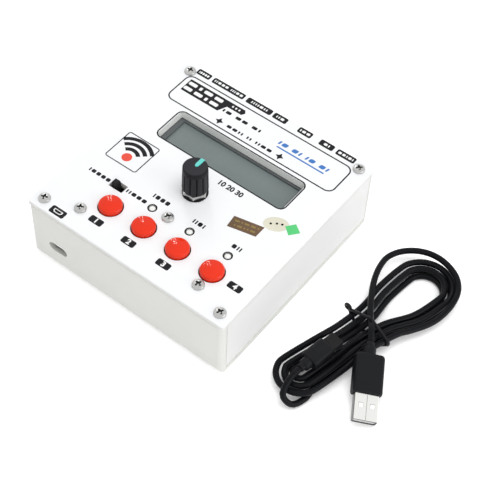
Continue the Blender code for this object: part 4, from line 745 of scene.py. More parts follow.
class KEYER_OT_prints(Operator):
    """Prints the frames, pads, code marks and numerals of the control panel"""
    bl_idname = "keyer.prints"
    bl_label = "Panel prints"

    def execute(self, context):
        black, light = print_black(), print_light()
        for name, (width, depth, corner, line, middle) in FRAMES.items():
            frame_line(name, *in_mm(width, depth, corner, line), in_mm(*middle), black)
        self.print_header(black, light, print_blue())
        self.print_pads(black, light)
        self.print_badge(black, print_red())
        self.print_picture(black)
        return {"FINISHED"}

    def print_header(self, black, light, blue):
        """A dark block with light marks, two rows of marks between sparks, and the title."""
        ink_pieces("header_block", [in_mm(*HEADER_BLOCK)], black)
        ink_pieces("header_light_marks", [one for row in BLOCK_ROWS for one in marks(*row)],
                   light, 1)
        ink_pieces("header_marks", marks(*HEADER_ROW), black)
        ink_pieces("model_marks", marks(*MODEL_ROW), black)
        turn = np.radians(np.arange(8) * 45.0)
        reach = np.tile(in_mm(*SPARK_REACH), 4)
        spark = np.stack([reach * np.cos(turn), reach * np.sin(turn)], -1)
        ink_pieces("header_sparks", [spark + in_mm(*at) for at in SPARKS], black)
        ink_pieces("title_marks", marks(*TITLE_ROW, slant=TITLE_SLANT), blue)
        ink_pieces("title_line", [rounded_outline(*in_mm(*TITLE_LINE), 3)], blue,
                   middle=in_mm(*TITLE_LINE_PLACE))

    def print_pads(self, black, light):
        """Dark pads with light marks along the rear edge, light numerals by the buttons and
        a port's outline over the front slot, with dark labels and figures on the panel."""
        outlines, light_marks = [], []
        for left, right, code in REAR_PADS:
            middle = in_mm((left + right) / 2, REAR_PAD_Y)
            wide = right - left
            outlines.append(rounded_outline(*in_mm(wide, PAD_DEPTH, PAD_CORNER), 6, middle))
            unit = min(REAR_UNIT, (wide - 2 * REAR_MARGIN) / code_length(code)) * MM
            light_marks += code_outlines(code, unit, PAD_MARK * MM, middle)
        outlines += [
            rounded_outline(*in_mm(BUTTON_PAD_WIDTH, PAD_DEPTH, PAD_CORNER), 6, in_mm(*middle))
            for middle in BUTTON_PADS]
        port_at = in_mm(*PORT_PLACE)
        outlines.append(rounded_outline(*in_mm(*PORT_PAD, PAD_CORNER), 6, port_at))
        port = in_mm(*PORT_OUTLINE)
        ink_pieces("pads", outlines, black)
        ink_pieces("pad_marks", light_marks, light, 1)
        ink_pieces("port_mark", [port + port_at], light, 1)
        ink_pieces("port_mark_middle", [port * PORT_MIDDLE + port_at], black, 2)
        for i, middle in enumerate(BUTTON_PADS, 1):
            numerals(f"pad_numeral_{i}", str(i), PAD_NUMERAL * MM, in_mm(*middle), light, 1)
        for i, row in enumerate(LABEL_ROWS, 1):
            ink_pieces(f"label_{i}", marks(*row), black)
        numerals("speed_numerals", "10 20 30", SPEED_NUMERAL * MM, in_mm(*SPEED_PLACE), black)

    def print_badge(self, black, red):
        """A disc under three bands, each an arc out and a smaller one back."""
        middle = in_mm(*BADGE_PLACE)
        ink_pieces("badge_disc", [circle(BADGE_DISC * MM, 24)], red, middle=middle)
        start, end = BADGE_SPAN
        bands = []
        for radius in BADGE_BANDS:
            inner, outer = in_mm(radius - BADGE_LINE / 2, radius + BADGE_LINE / 2)
            bands.append(np.concatenate([arc((0.0, 0.0), outer, start, end, 24),
                                         arc((0.0, 0.0), inner, end, start, 24)]))
        ink_pieces("badge_bands", bands, black, middle=middle)

    def print_picture(self, black):
        """A plank with two rows of marks, an oval with three dots, and a kite."""
        ink_pieces("picture_band", [in_mm(*PLANK)], print_brown(), 0, in_mm(*PLANK_PLACE),
                   PLANK_TURN)
        for name, (code, middle) in PLANK_ROWS.items():
            ink_pieces(name, marks(code, *PLANK_MARK), print_gold(), 1, in_mm(*middle),
                       PLANK_TURN)
        oval = circle(1.0, 48) * in_mm(*OVAL)
        ink_pieces("picture_oval", [oval], print_cream(), 0, in_mm(*OVAL_PLACE), OVAL_TURN)
        dot = arc((0.0, 0.0), OVAL_DOT * MM, 0.0, 345.0, 20)
        ink_pieces("picture_rings", [dot + in_mm(*at) for at in OVAL_DOTS], black, 1)
        ink_pieces("picture_kite", [in_mm(*KITE)], print_green(), 1, in_mm(*KITE_PLACE),
                   KITE_TURN)


def pan_head(name, at, turn, look):
    """A pan-head screw's top as a height over its radius and angle: a crowned disc, of
    height rise (0.42 + 0.58 sqrt(1 - s^2.6)) at share s of the radius, less a cross recess
    whose arms fade out with their own length and width, round a deep hub."""
    radius, rise, soft = in_mm(2.7, 1.5, 0.14)
    half_arm, arm_reach, hub, depth = in_mm(0.42, 1.55, 0.85, 0.95)
    reach = np.concatenate([[1.0, 1.0, 0.985], np.linspace(0.96, 0.0, 34)])
    crown = rise * (0.42 + 0.58 * np.sqrt(np.clip(1 - (reach / 0.99) ** 2.6, 0, 1)))
    crown[:2] = (0.0, 0.4 * rise)
    angle = np.linspace(0, 2 * math.pi, 96, endpoint=False)
    across = radius * reach[:, None] * np.cos(angle)
    along = radius * reach[:, None] * np.sin(angle)
    cosine, sine = math.cos(turn), math.sin(turn)
    first = np.abs(cosine * across + sine * along)
    second = np.abs(cosine * along - sine * across)

    def inside(limit, away):
        return np.clip((limit - away) / soft, 0, 1)

    arm = np.maximum(inside(half_arm, first) * inside(arm_reach, second),
                     inside(half_arm, second) * inside(arm_reach, first))
    cross = np.maximum(arm, inside(hub, np.hypot(across, along)))
    rings = np.stack([across, along, crown[:, None] - depth * cross], axis=-1) + at
    head = loft(name, rings, look, slot="screw_chrome", sharp=40.0)
    low, start, end = in_mm(0.95, 0.42, 1.5)

    def deep(centre, normal):
        away = np.hypot(*(centre[:, :2] - at[:2]).T)
        return (centre[:, 2] < at[2] + low) & (away > start) & (away < end)

    return paint(head, recess_shade(), deep)


class KEYER_OT_screws(Operator):
    """Plated pan-head screws at the corners and on the panel"""
    bl_idname = "keyer.screws"
    bl_label = "Screws"

    def execute(self, context):
        steel = bright_steel()
        head_turns = (0.35, 1.1, 0.1, 0.8, 0.55, 1.3, 0.95)
        names = [f"corner_screw_{i}" for i in range(1, 5)] + [
            f"panel_screw_{i}" for i in range(1, 4)]
        shank_line = in_mm((0, -8), (1.2, -8), (1.2, 0.0))
        for name, turn in zip(names, head_turns):
            base = np.array([*box_middle(name)[:2], sizes().panel_top + 0.1 * MM])
            head = pan_head(name + "_head", base, turn, steel)
            shank = revolve(name + "_shank", shank_line, base - in_mm(0, 0, 0.01), steel, 24)
            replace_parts(joined(name + "_fine", [head, shank]), name)
        for i in range(1, 4):
            dressed(f"panel_spacer_{i}", brass_look())
        return {"FINISHED"}


class KEYER_OT_buttons(Operator):
    """Four glossy domed push buttons with their plungers, each with a dark ring round its cap
    below the panel as painted shade
    """
    bl_idname = "keyer.buttons"
    bl_label = "Push buttons"

    def execute(self, context):
        """The cap's profile (r, h): plunger and flange, straight side, a quarter circle,
        and the dome h = shoulder + dome (1 - share^2) at share of the inner radius."""
        held = sizes()
        shoulder = held.button_rise - held.button_dome
        inner = held.button_radius - held.button_round
        corner = arc((inner, shoulder - held.button_round), held.button_round, 0, 90, 14)
        share = np.linspace(1.0, 0.0, 20)[1:]
        crown = np.stack([inner * share, shoulder + held.button_dome * (1 - share ** 2)], -1)
        below = in_mm((0, -7.1), (1.6, -7.1), (1.6, -0.4), (4.05, -0.4), (4.05, -4.0),
                      (6.2, -4.0), (6.2, -3.1), (5.25, -3.1))
        low, high = -2.9 * MM, corner[0, 1] - 0.2 * MM
        side = np.stack([np.full(8, held.button_radius), np.linspace(low, high, 8)], -1)
        profile = np.concatenate([below, side, corner, crown])
        # Painted shade: a dark ring round the cap's side just below the panel, where the gap
        # between cap and hole lies in shadow.
        shadow_ring = in_mm((5.27, -2.6), (5.63, -2.6), (5.63, -0.3), (5.27, -0.3))
        for i in range(1, 5):
            at = (held.button_pitch * (i - 1) - held.button_first_x, -held.button_y,
                  held.panel_top)
            cap = revolve(f"button_cap_{i}_fine", profile, at, cap_red(), 128,
                          rides=f"button_{i}", slot="button_red", sharp=50.0)
            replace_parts(cap, f"button_cap_{i}")
            revolve(f"button_shadow_ring_{i}", shadow_ring, at, inner_black(), 64, rides=f"button_{i}",
                    slot="black_plastic", sharp=30.0)
            dressed(f"tact_switch_{i}", inner_black())
        return {"FINISHED"}


class KEYER_OT_knob(Operator):
    """Grooved control knob with its inlaid pointer, nut, washer and shaft"""
    bl_idname = "keyer.knob"
    bl_label = "Speed knob"

    def execute(self, context):
        held = sizes()
        at = np.array([0.0, -held.knob_y, held.knob_low])
        self.grip(at)
        self.pointer(at)
        dressed("pot_body", socket_metal())
        dressed("pot_shaft", socket_metal())
        # Painted shade: the washer is dressed black to stand for the dark line of shade under the
        # knob.
        dressed("pot_washer", inner_black(), 40.0)
        dressed("pot_nut", bright_steel(), 40.0)
        return {"FINISHED"}

    def grip(self, at):
        """r(t, h) tapers with height, less a lip that narrows the lower edge and grooves of
        depth d c(t)^5 that fade out near the top, where c is the cosine of twelve times the
        angle; then a round bevel, a top dished by the square of its radius, and a bore from
        below."""
        held = sizes()
        high, stop = held.knob_height, held.knob_height - held.groove_stop
        angle = np.linspace(0, 2 * math.pi, 384, endpoint=False)
        dip = np.clip(np.cos(12 * angle + math.pi), 0, 1) ** 5
        level = np.concatenate([in_mm(0.0, 0.12, 0.35, 0.8),
                                np.linspace(1.5 * MM, stop - 0.6 * MM, 10),
                                np.linspace(stop - 0.4 * MM, stop + 0.5 * MM, 6)])[:, None]
        fade_end, fade_length, lip_height, lip_depth = in_mm(0.3, 0.7, 0.35, 0.25)
        fade = np.clip((stop + fade_end - level) / fade_length, 0, 1) ** 0.6
        taper = held.knob_base + (held.knob_top - held.knob_base) * level / high
        lip = np.clip(1 - level / lip_height, 0, 1) ** 2 * lip_depth
        radius = taper - lip - held.groove_depth * fade * dip
        wall = np.stack([radius * np.cos(angle), radius * np.sin(angle),
                         np.broadcast_to(level, radius.shape)], -1)
        flat, sink = held.knob_top - held.knob_bevel, 0.12 * MM
        crown = arc((flat, high - held.knob_bevel), held.knob_bevel, 8, 90, 9)
        share = np.array([0.93, 0.8, 0.55, 0.3, 0.1])
        dish = np.stack([flat * share, high - sink * (1 - share ** 2)], -1)
        bore = np.array([in_mm(3.3, 9.2), in_mm(3.3, 2.0),
                         (held.knob_base - 1.6 * MM, 1.9 * MM),
                         (held.knob_base - 1.55 * MM, 0.0)])
        rings = np.concatenate([turned_rings(bore, angle), wall, turned_rings(crown, angle),
                                turned_rings(dish, angle)]) + at
        grip = loft("knob_grip", rings, knob_black(), rides="knob", slot="black_plastic",
                    sharp=45.0)
        side_top, face = at[2] + stop + 0.2 * MM, at[2] + high - 0.2 * MM
        # Painted light: the grooved side and the flat top face are lighter copies of the knob's
        # black.
        paint(grip, knob_black("knob_side_painted_light", 1.85), lambda centre, normal: centre[:, 2] < side_top)
        paint(grip, knob_black("knob_face_painted_light", 2.15),
              lambda centre, normal: (centre[:, 2] > face) & (normal[:, 2] > 0.95))
        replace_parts(grip, "speed_knob")

    def pointer(self, at):
        """A bar with a round inner end, swept from the knob's middle over its rim: its
        section is a flattened half circle above the path and a straight foot below it."""
        held = sizes()
        half, lift, foot, bend = in_mm(0.95, 0.2, 0.4, 0.72)
        high, rim = held.knob_height, held.knob_top
        path = np.concatenate([
            np.stack([np.linspace(0.1 * MM, rim - 0.75 * MM, 10), np.full(10, high)], -1),
            arc((rim - bend, high - bend), bend, 80, 5, 8),
            in_mm((0.02, -1.5), (0.03, -2.2)) + (rim, high)])
        ahead = np.gradient(path, axis=0)
        normal = np.stack([-ahead[:, 1], ahead[:, 0]], -1)
        normal = (normal / np.linalg.norm(normal, axis=1)[:, None])[:, None, :]
        turn = np.linspace(0, math.pi, 9)
        wide = np.concatenate([[0.35, 0.75, 0.93], np.ones(len(path) - 3)])[:, None]
        across = half * wide * np.cos(turn)
        top = path[:, None, :] + normal * (lift * np.sin(turn) ** 0.6)[:, None]
        low = np.broadcast_to(path[:, None, :] - normal * foot, top.shape)
        rings = np.concatenate([np.concatenate([across[..., None], top], -1),
                                np.concatenate([across[:, ::-1, None], low], -1)], axis=1)
        mark = loft("pointer_bar", rings[::-1] + at, pointer_inlay(), rides="knob",
                    slot="pointer_teal", sharp=40.0)
        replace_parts(mark, "knob_pointer")


class KEYER_OT_lamps(Operator):
    """Flush clear lamps, each in a dark printed ring"""
    bl_idname = "keyer.lamps"
    bl_label = "Indicator lamps"

    def execute(self, context):
        for i in range(1, 4):
            node = f"indicator_lamp_{i}"
            dressed(node, lamp_lens())
            outer, inner = (circle(radius, 48) + box_middle(node)[:2]
                            for radius in in_mm(2.2, 1.6))
            ink_line(f"lamp_ring_{i}", outer, inner, print_black())
        return {"FINISHED"}


class KEYER_OT_switch(Operator):
    """Slide switch: plated case and lever"""
    bl_idname = "keyer.switch"
    bl_label = "Slide switch"

    def execute(self, context):
        """The lever is a rounded box whose section shrinks near its top: each step is a
        share of its height and the size of its outline there."""
        dressed("slide_switch_body", socket_metal())
        low, high = (np.array(corner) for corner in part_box("slide_lever"))
        wide, deep, tall = high - low
        middle = box_middle("slide_lever")[:2]
        steps = ((0.0, 1.0), (0.55, 1.0), (0.6, 0.98), (0.9, 0.94), (0.97, 0.86), (1.0, 0.7))
        rings = np.concatenate([
            raised(rounded_outline(wide * grow, deep * grow, 0.25 * MM, 4, middle),
                   [low[2] + tall * share]) for share, grow in steps])
        lever = loft("lever_fine", rings, inner_black(), rides="mode_lever",
                     slot="black_plastic", sharp=30.0)
        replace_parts(lever, "slide_lever")
        return {"FINISHED"}


# Character cells of the display: axis, pitch in millimetres, shift in cells, and the share
# of the pitch that a cell fills.
CELLS = (("X", 3.55, 0.0, 0.82), ("Y", 5.95, -3.084, 0.88))


class KEYER_OT_display(Operator):
    """Text display: dark grey frame, which also stands as painted shade along the window's edges,
    glass and an unlit view with faint character cells
    """
    bl_idname = "keyer.display"
    bl_label = "Display"

    def execute(self, context):
        # Partly painted shade: the bezel's grey also stands for the shadow inside the window's
        # edges.
        dressed("display_bezel", display_frame_grey())
        dressed("display_board", board_look())
        dressed("display_header", inner_black())
        low, high = (np.array(corner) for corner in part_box("display_glass"))
        outline = rounded_outline(*(high - low)[:2], 0.35 * MM, 4, box_middle("display_glass")[:2])
        glass = slab("glass_fine", outline, (low[2], high[2]), self.glass_look(),
                     "display_window")
        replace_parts(glass, "display_glass")
        return {"FINISHED"}

    def glass_look(self):
        """Glass whose cells show as a faint raster: a cell is where the fractions of
        x / pitch and y / pitch, shifted to the first cell, both lie under their share."""
        base = np.array(colours().glass)
        look = finish_look("display_view", base, 0.14, 200.0, 0.05, 0.0, Specular_IOR_Level=0.25)
        tree = look.node_tree
        grained = next(node for node in tree.nodes if node.type == "GROUP")
        parts = tree.nodes.new("ShaderNodeSeparateXYZ")
        where = tree.nodes.new("ShaderNodeTexCoord")
        tree.links.new(where.outputs["Object"], parts.inputs[0])
        masks = []
        for axis, pitch, shift, share in CELLS:
            along = math_node(tree, "MULTIPLY_ADD", parts.outputs[axis], 1 / (pitch * MM), shift)
            masks.append(math_node(tree, "LESS_THAN", math_node(tree, "FRACT", along), share))
        mix = tree.nodes.new("ShaderNodeMix")
        mix.data_type = "RGBA"
        mix.inputs[6].default_value = (*(base * 1.008), 1.0)
        mix.inputs[7].default_value = (*(base * 0.992), 1.0)
        tree.links.new(math_node(tree, "MULTIPLY", *masks), mix.inputs[0])
        tree.links.new(mix.outputs[2], grained.inputs["Colour"])
        return look


class KEYER_OT_inside(Operator):
    """Boards, sounder and sockets seen through the openings"""
    bl_idname = "keyer.inside"
    bl_label = "Boards and sockets"

    def execute(self, context):
        for node in ("control_board", "main_board"):
            dressed(node, board_look())
        for node in ("rear_usb_port", "host_port"):
            dressed(node, socket_metal())
        dressed("front_usb_port", port_shade())
        for node in ("paddle_jack", "key_line_jack", "serial_line_jack", "transmit_jack",
                     "tone_jack", "sounder"):
            dressed(node, inner_black())
        return {"FINISHED"}


def along_curve(points, spacing):
    """Points at even spacing on the Catmull-Rom curve through the given ones: each span
    is half of (2 b + (c - a) t + (2a - 5b + 4c - d) t^2 + (3b - a - 3c + d) t^3)."""
    held = np.asarray(points, dtype=float)
    padded = np.concatenate([held[:1], held, held[-1:]])
    t = np.linspace(0, 1, 24, endpoint=False)[:, None, None]
    a, b, c, d = padded[:-3], padded[1:-2], padded[2:-1], padded[3:]
    fine = 0.5 * (2 * b + (c - a) * t + (2 * a - 5 * b + 4 * c - d) * t ** 2
                  + (3 * b - a - 3 * c + d) * t ** 3)
    fine = np.concatenate([fine.transpose(1, 0, 2).reshape(-1, 3), held[-1:]])
    run = np.concatenate([[0], np.cumsum(np.linalg.norm(np.diff(fine, axis=0), axis=1))])
    wanted = np.linspace(0, run[-1], max(2, round(run[-1] / spacing)) + 1)
    return np.stack([np.interp(wanted, run, fine[:, k]) for k in range(3)], -1)


def sweep(name, path, outline, look, sharp=60.0, closed=False, **kept):
    """The outline (m, 2) carried along the path (n, 3) on a frame turned as little as
    possible from point to point, so that it doesn't twist. A closed one joins its last
    ring to its first, at the shift where their points lie nearest."""
    path = np.asarray(path, dtype=float)
    if closed:
        ahead = np.roll(path, -1, axis=0) - np.roll(path, 1, axis=0)
    else:
        ahead = np.gradient(path, axis=0)
    ahead /= np.linalg.norm(ahead, axis=1)[:, None]
    side = np.cross(ahead[0], (0.0, 0.0, 1.0) if abs(ahead[0][2]) < 0.9 else (1.0, 0.0, 0.0))
    side /= np.linalg.norm(side)
    rings = []
    for point, way in zip(path, ahead):
        side = side - way * np.dot(side, way)
        side /= np.linalg.norm(side)
        up = np.cross(side, way)
        rings.append(point + outline[:, :1] * side + outline[:, 1:] * up)
    rings = np.array(rings)[:, ::-1]
    if not closed:
        return loft(name, rings, look, sharp=sharp, **kept)
    count, around = rings.shape[:2]
    here = np.arange(around)
    after = (here + 1) % around
    shift = min(here, key=lambda k: np.linalg.norm(
        np.roll(rings[-1], k, axis=0) - rings[0], axis=1).sum())
    last = np.roll(here + (count - 1) * around, shift)
    faces = grid_faces(count, around) + np.stack([last, last[after], after, here], -1).tolist()
    return make_object(name, rings.reshape(-1, 3), faces, look, True, **kept)


def turn_matrix(degrees, axis):
    return Matrix.Rotation(math.radians(degrees), 4, axis)


def hank_matrix():
    """From the hank's frame, its long way along Y, to the part's frame."""
    held = bpy.context.scene.keyer_lead
    return Matrix.Translation(Vector((*held.hank_at, 0.0))) @ turn_matrix(held.hank_turn, "Z")


def large_plug_matrix():
    """From the large plug's frame, whose X axis runs out of the cable, to the part's."""
    held = bpy.context.scene.keyer_lead
    turn = turn_matrix(held.plug_turn, "Z") @ turn_matrix(held.plug_tilt, "Y")
    turn = turn @ turn_matrix(held.plug_roll, "X")
    return Matrix.Translation(Vector(held.plug_at)) @ turn


def small_plug_matrix():
    """From the small plug's frame, along the hank, to the part's."""
    held = bpy.context.scene.keyer_lead
    return hank_matrix() @ Matrix.Translation(Vector(held.small_plug_at)) @ turn_matrix(90, "Z")


class KeyerLead(PropertyGroup):
    """Where the tied lead lies and how it is wound"""
    hank_at: place("Hank place", (85.0, 2.0), "Middle of the hank on the bench")
    hank_turn: FloatProperty(name="Hank turn", default=-9.6, description="Degrees about Z")
    hank_loops: IntProperty(name="Loops", default=4, min=1, description="Turns of the hank")
    fold_points: IntProperty(name="Fold points", default=7, description="Counts in a fold")
    run_points: IntProperty(name="Run points", default=5, description="Counts in a run")
    hank_step: size("Step", 3.6, "Distance from one loop to the next")
    hank_lift: size("Layer", 3.4, "Rise of the upper layer")
    near_radius: size("Near fold", 9.5, "Outer radius of the near fold")
    far_radius: size("Far fold", 14.4, "Outer radius of the far fold")
    near_inset: size("Near end", 37.3, "Distance of the near fold's middle")
    far_centre: size("Far end", 34.8, "Distance of the far fold's middle")
    lean: size("Lean", 4.8, "How far the far end lies to the right")
    waist_draw: size("Waist draw", 3.7, "How far the tie draws the runs in")
    near_reach: size("Near reach", 40.0, "Length drawn in on the near side of the tie")
    far_reach: size("Far reach", 22.0, "Length drawn in on the far side of the tie")
    waist_rise: size("Waist rise", 1.9, "Rise of the runs at the tie")
    tie: size("Tie diameter", 1.4, "Thickness of the wire tie")
    ear: size("Tie ear", 1.4, "Radius of the tie's twisted ear")
    plug_at: place("Large plug", (95.6, -7.7, 11.6), "Where its relief starts")
    plug_turn: FloatProperty(name="Large plug turn", default=-59.0, description="Degrees")
    plug_tilt: FloatProperty(name="Large plug tilt", default=13.2, description="Degrees")
    plug_roll: FloatProperty(name="Large plug roll", default=-14.0, description="Degrees")
    small_plug_at: place("Small plug", (1.2, -38.6, 10.4), "Place in the hank's own frame")


# The cable's way in the hank's frame, in millimetres: from the small plug into the loops, and
# out of them to the large plug.
START_ROUTE = (
    (1.8, -44.6, 10.0), (3.2, -49.6, 8.0), (5.4, -51.6, 5.0), (8.0, -49.6, 2.5),
    (9.4, -45.0, 1.55), (9.3, -40.4, 1.42))
END_ROUTE = (
    (20.9, 29.0, 5.7), (20.0, 37.0, 7.2), (16.2, 44.2, 8.0), (9.6, 48.2, 8.2),
    (1.0, 49.5, 7.9), (-7.4, 47.6, 6.8), (-13.8, 41.8, 6.2), (-16.2, 34.0, 6.5),
    (-14.3, 26.2, 7.7), (-10.6, 18.8, 9.0), (-5.6, 11.6, 10.0), (-0.2, 5.2, 10.4),
    (4.4, 0.4, 10.7))
# Plugs in millimetres along their own X axis, which starts at the relief's thin end. A grip is
# its relief, length, width, height and corner; a shell its start, length, width, height and
# wall; a latch hole its place along the shell, its place across and its side.
LARGE_GRIP, LARGE_SHELL = (6.0, 17.4, 12.8, 6.6, 1.6), (23.7, 11.4, 10.6, 4.0, 0.45)
SMALL_GRIP, SMALL_SHELL = (5.0, 11.0, 8.6, 5.8, 1.6), (16.3, 6.0, 6.8, 3.1, 0.4)
LATCH_HOLES = ((4.9, 2.5, 1.9), (4.9, -2.5, 1.9))
# Growth, shift along the shell and lift of a latch hole's dim rim, painted shadow round the hole's
# edge, and of the hole on it.
SHADOW_RIM_PLATE, HOLE_PLATE = (0.22, 0.0, 0.012), (0.0, 0.1, 0.02)
# A grip's outlines: share of its length, and shares of its width and height there.
GRIP_STEPS = ((0.0, 0.6, 0.72), (0.004, 0.86, 0.86), (0.02, 0.93, 0.93), (0.045, 0.97, 0.97),
              (0.085, 1.0, 1.0), (0.955, 1.0, 1.0), (0.98, 0.985, 0.985), (1.0, 0.95, 0.93))


def across_x(sections):
    """Rings from pairs of a place along X and an outline (n, 2) across it."""
    return np.array([np.column_stack([np.full(len(flat), along), flat])
                     for along, flat in sections])


def hank_loops():
    """Points of the loops in the hank's frame: x = r cos, y = r sin + middle in a fold,
    straight between the folds, the radius a step less for each loop up to the middle one
    and a step more after it, z a layer higher from there; a squared cosine draws the runs
    in and up at the tie, and a sine leans them to the right towards the far fold."""
    held = bpy.context.scene.keyer_lead
    fold, run = held.fold_points, held.run_points
    half, loop = fold + run, 2 * (fold + run)
    count = np.arange(fold, held.hank_loops * loop + fold + run, dtype=float)
    turns = count / loop
    inset = held.hank_step * np.minimum(turns, held.hank_loops - turns)
    near, far = held.near_radius - inset, held.far_radius - inset
    first = count % loop
    second = first >= half
    first = first % half
    radius = np.where(second, far, near)
    angle = math.pi * first / fold + np.where(second, 0.0, math.pi)
    share = (first - fold) / run
    share = np.where(second, 1 - share, share)
    low, length = -held.near_inset, held.far_centre + held.near_inset
    middle = np.where(second, held.far_centre, low)
    across = np.where(first <= fold, radius * np.cos(angle),
                      (near + (far - near) * share) * np.where(second, -1, 1))
    along = np.where(first <= fold, middle + radius * np.sin(angle), low + length * share)
    reach = np.where(along < 0, held.near_reach, held.far_reach)
    waist = np.where(np.abs(along) < reach, np.cos(math.pi / 2 * along / reach) ** 2, 0.0)
    across = across - np.copysign(held.waist_draw * waist, across)
    across = across + held.lean * np.sin(math.pi / 2 * np.clip((along - low) / length, 0, 1))
    climb = np.clip((turns - held.hank_loops / 2) * loop / run + 1, 0.0, 1.0)
    climb = climb * climb * (3 - 2 * climb)
    height = sizes().cable / 2 + held.hank_lift * climb + held.waist_rise * waist
    return np.stack([across, along, height], -1)


class KEYER_OT_lead(Operator):
    """Tied USB lead: one unbroken cable, its wire tie, its large and its small plug"""
    bl_idname = "keyer.lead"
    bl_label = "USB lead"

    def execute(self, context):
        hank, large, small = hank_matrix(), large_plug_matrix(), small_plug_matrix()
        thick = sizes().cable
        gap, coarse_step, fine_step = in_mm(0.3, 6.5, 1.6)
        loops = moved(hank, hank_loops())
        start = np.concatenate([moved(small, [(-gap, 0, 0), (-gap - thick, 0, 0)]),
                                moved(hank, in_mm(*START_ROUTE)), loops[:2]])
        end = np.concatenate([
            loops[-2:], moved(hank, in_mm(*END_ROUTE)),
            moved(large, [(-gap - 2 * thick, 0, 0), (-gap - thick, 0, 0), (-gap, 0, 0)])])
        head, tail = along_curve(start, coarse_step)[:-1], along_curve(end, coarse_step)[1:]
        coarse = np.concatenate([head[:-1], loops[1:-1], tail])
        path = along_curve(coarse, fine_step)
        cable = sweep("cable_run", path, circle(thick / 2, 20), jacket(), slot="lead_rubber")
        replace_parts(cable, "usb_lead")
        pieces = [self.tie(hank, path)] + self.large_plug(large) + self.small_plug(small)
        return {"FINISHED"}

    def tie(self, hank, path):
        """A wire drawn tight round the runs: p(t) = c + r u(t), where c is the run furthest
        along the direction u(t) and r the cable's and the wire's radii, with a small ear;
        its start and its end sway apart along the runs."""
        held = bpy.context.scene.keyer_lead
        flat = moved(hank.inverted(), path)
        before, after = flat[:-1], flat[1:]
        cross = before[:, 1] * after[:, 1] < 0
        share = (before[:, 1] / (before[:, 1] - after[:, 1]))[cross][:, None]
        runs = (before[cross] + (after[cross] - before[cross]) * share)[:, [0, 2]]
        slack, clear, sway, spacing = in_mm(0.15, 0.1, 0.6, 0.5)
        reach = (sizes().cable + held.tie) / 2 + slack
        angle = np.radians(np.arange(0, 360, 6.0))
        way = np.stack([np.cos(angle), np.sin(angle)], -1)
        outline = runs[(way @ runs.T).argmax(axis=1)] + reach * way
        turn = np.radians(np.linspace(-60, 230, 12))
        ear = outline[25] + held.ear * (np.stack([np.cos(turn), np.sin(turn)], -1)
                                        + np.array([-1.1, 0.5]))
        outline = np.concatenate([outline[:24], ear, outline[27:]])
        outline[:, 1] = np.maximum(outline[:, 1], held.tie / 2 + clear)
        loop = np.insert(outline, 1, 0.0, axis=1)
        loop[:, 1] += (np.linspace(-sway, sway, len(loop))
                       * np.sin(np.linspace(0, math.pi, len(loop))))
        smooth = along_curve(np.concatenate([loop, loop[:1]]), spacing)[:-1]
        wire = sweep("tie_wire", moved(hank, smooth), circle(held.tie / 2, 12), tie_black(),
                     closed=True, slot="black_plastic")
        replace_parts(wire, "lead_tie")
        return wire

    def grip(self, name, matrix, relief, length, width, height, corner):
        """A relief of round rings in two smooth steps, then the flat grip: rounded
        rectangles whose width and height follow a profile along the plug's own X axis."""
        thin, neck, wide = sizes().cable / 2 + 0.12 * MM, 1.8 * MM, 2.7 * MM
        steps = ((0.0, thin), (0.02, thin + 0.2 * MM), (0.05, neck), (0.34, neck + 0.05 * MM),
                 (0.38, neck + 0.3 * MM), (0.42, wide - 0.12 * MM), (0.46, wide),
                 (0.99, wide + 0.05 * MM))
        sections = [(relief * share, circle(radius, 64)) for share, radius in steps]
        sections += [(relief + length * share,
                      rounded_outline(width * across, height * up, corner * up, 16))
                     for share, across, up in GRIP_STEPS]
        return loft(name, moved(matrix, across_x(sections)), moulding(), slot="lead_rubber",
                    sharp=38.0)

    def mouth(self, name, matrix, start, length, width, height, skin, look):
        """Folded shell, open at its far end: the outer rings run out, the inner ones back."""
        lip, shrunk, corner, least = in_mm(0.15, 0.12, 0.75, 0.2)
        steps = ((0.0, 0.0), (length - lip, 0.0), (length, shrunk), (length, skin),
                 (2 * skin, skin))
        sections = [(start + along,
                     rounded_outline(width - 2 * shrink, height - 2 * shrink,
                                     max(corner - shrink, least), 8))
                    for along, shrink in steps]
        return loft(name, moved(matrix, across_x(sections)), look, slot="socket_steel",
                    sharp=3.0)

    def latch_holes(self, matrix, start, height, skin):
        """Square holes on the shell's upper face, each a light plate on a wider dim rim that is
        painted shadow round its edge.
        """
        plates = []
        for along, across, side in in_mm(*LATCH_HOLES):
            for values, look in ((SHADOW_RIM_PLATE, latch_rim()), (HOLE_PLATE, latch_hole())):
                grow, shift, lift = in_mm(*values)
                outline = rounded_outline(side + grow, side + grow, side * 0.1, 3,
                                          (start + along + shift, across))
                plates.append(slab("plug_shell_hole", outline,
                                   (height / 2 - skin * 0.6, height / 2 + lift), look,
                                   "socket_steel", matrix))
        return joined("plug_shell_holes", plates)

    def seam(self, matrix, start, length, height):
        """A fine joint line along the middle of the shell's upper face."""
        short, width, corner, depth, lift = in_mm(0.8, 0.14, 0.05, 0.1, 0.01)
        outline = rounded_outline(length - short, width, corner, 2, (start + length / 2, 0.0))
        return slab("shell_seam", outline, (height / 2 - depth, height / 2 + lift),
                    inner_black(), "black_plastic", matrix)

    def large_plug(self, matrix):
        """The grip, the shell with its latch holes and joint line, and the tongue inside.
        The shell is dimmed on its sides, its end face and its inner walls, as painted shade and a
        painted reflection of the dark plug and cable."""
        grip = self.grip("plug_grip", matrix, *in_mm(*LARGE_GRIP))
        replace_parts(grip, "usb_plug_body")
        start, length, width, height, skin = in_mm(*LARGE_SHELL)
        shell = self.mouth("plug_shell", matrix, start, length, width, height, skin,
                           shell_metal())
        turn, origin = np.array(matrix.to_3x3()), np.array(matrix.translation)

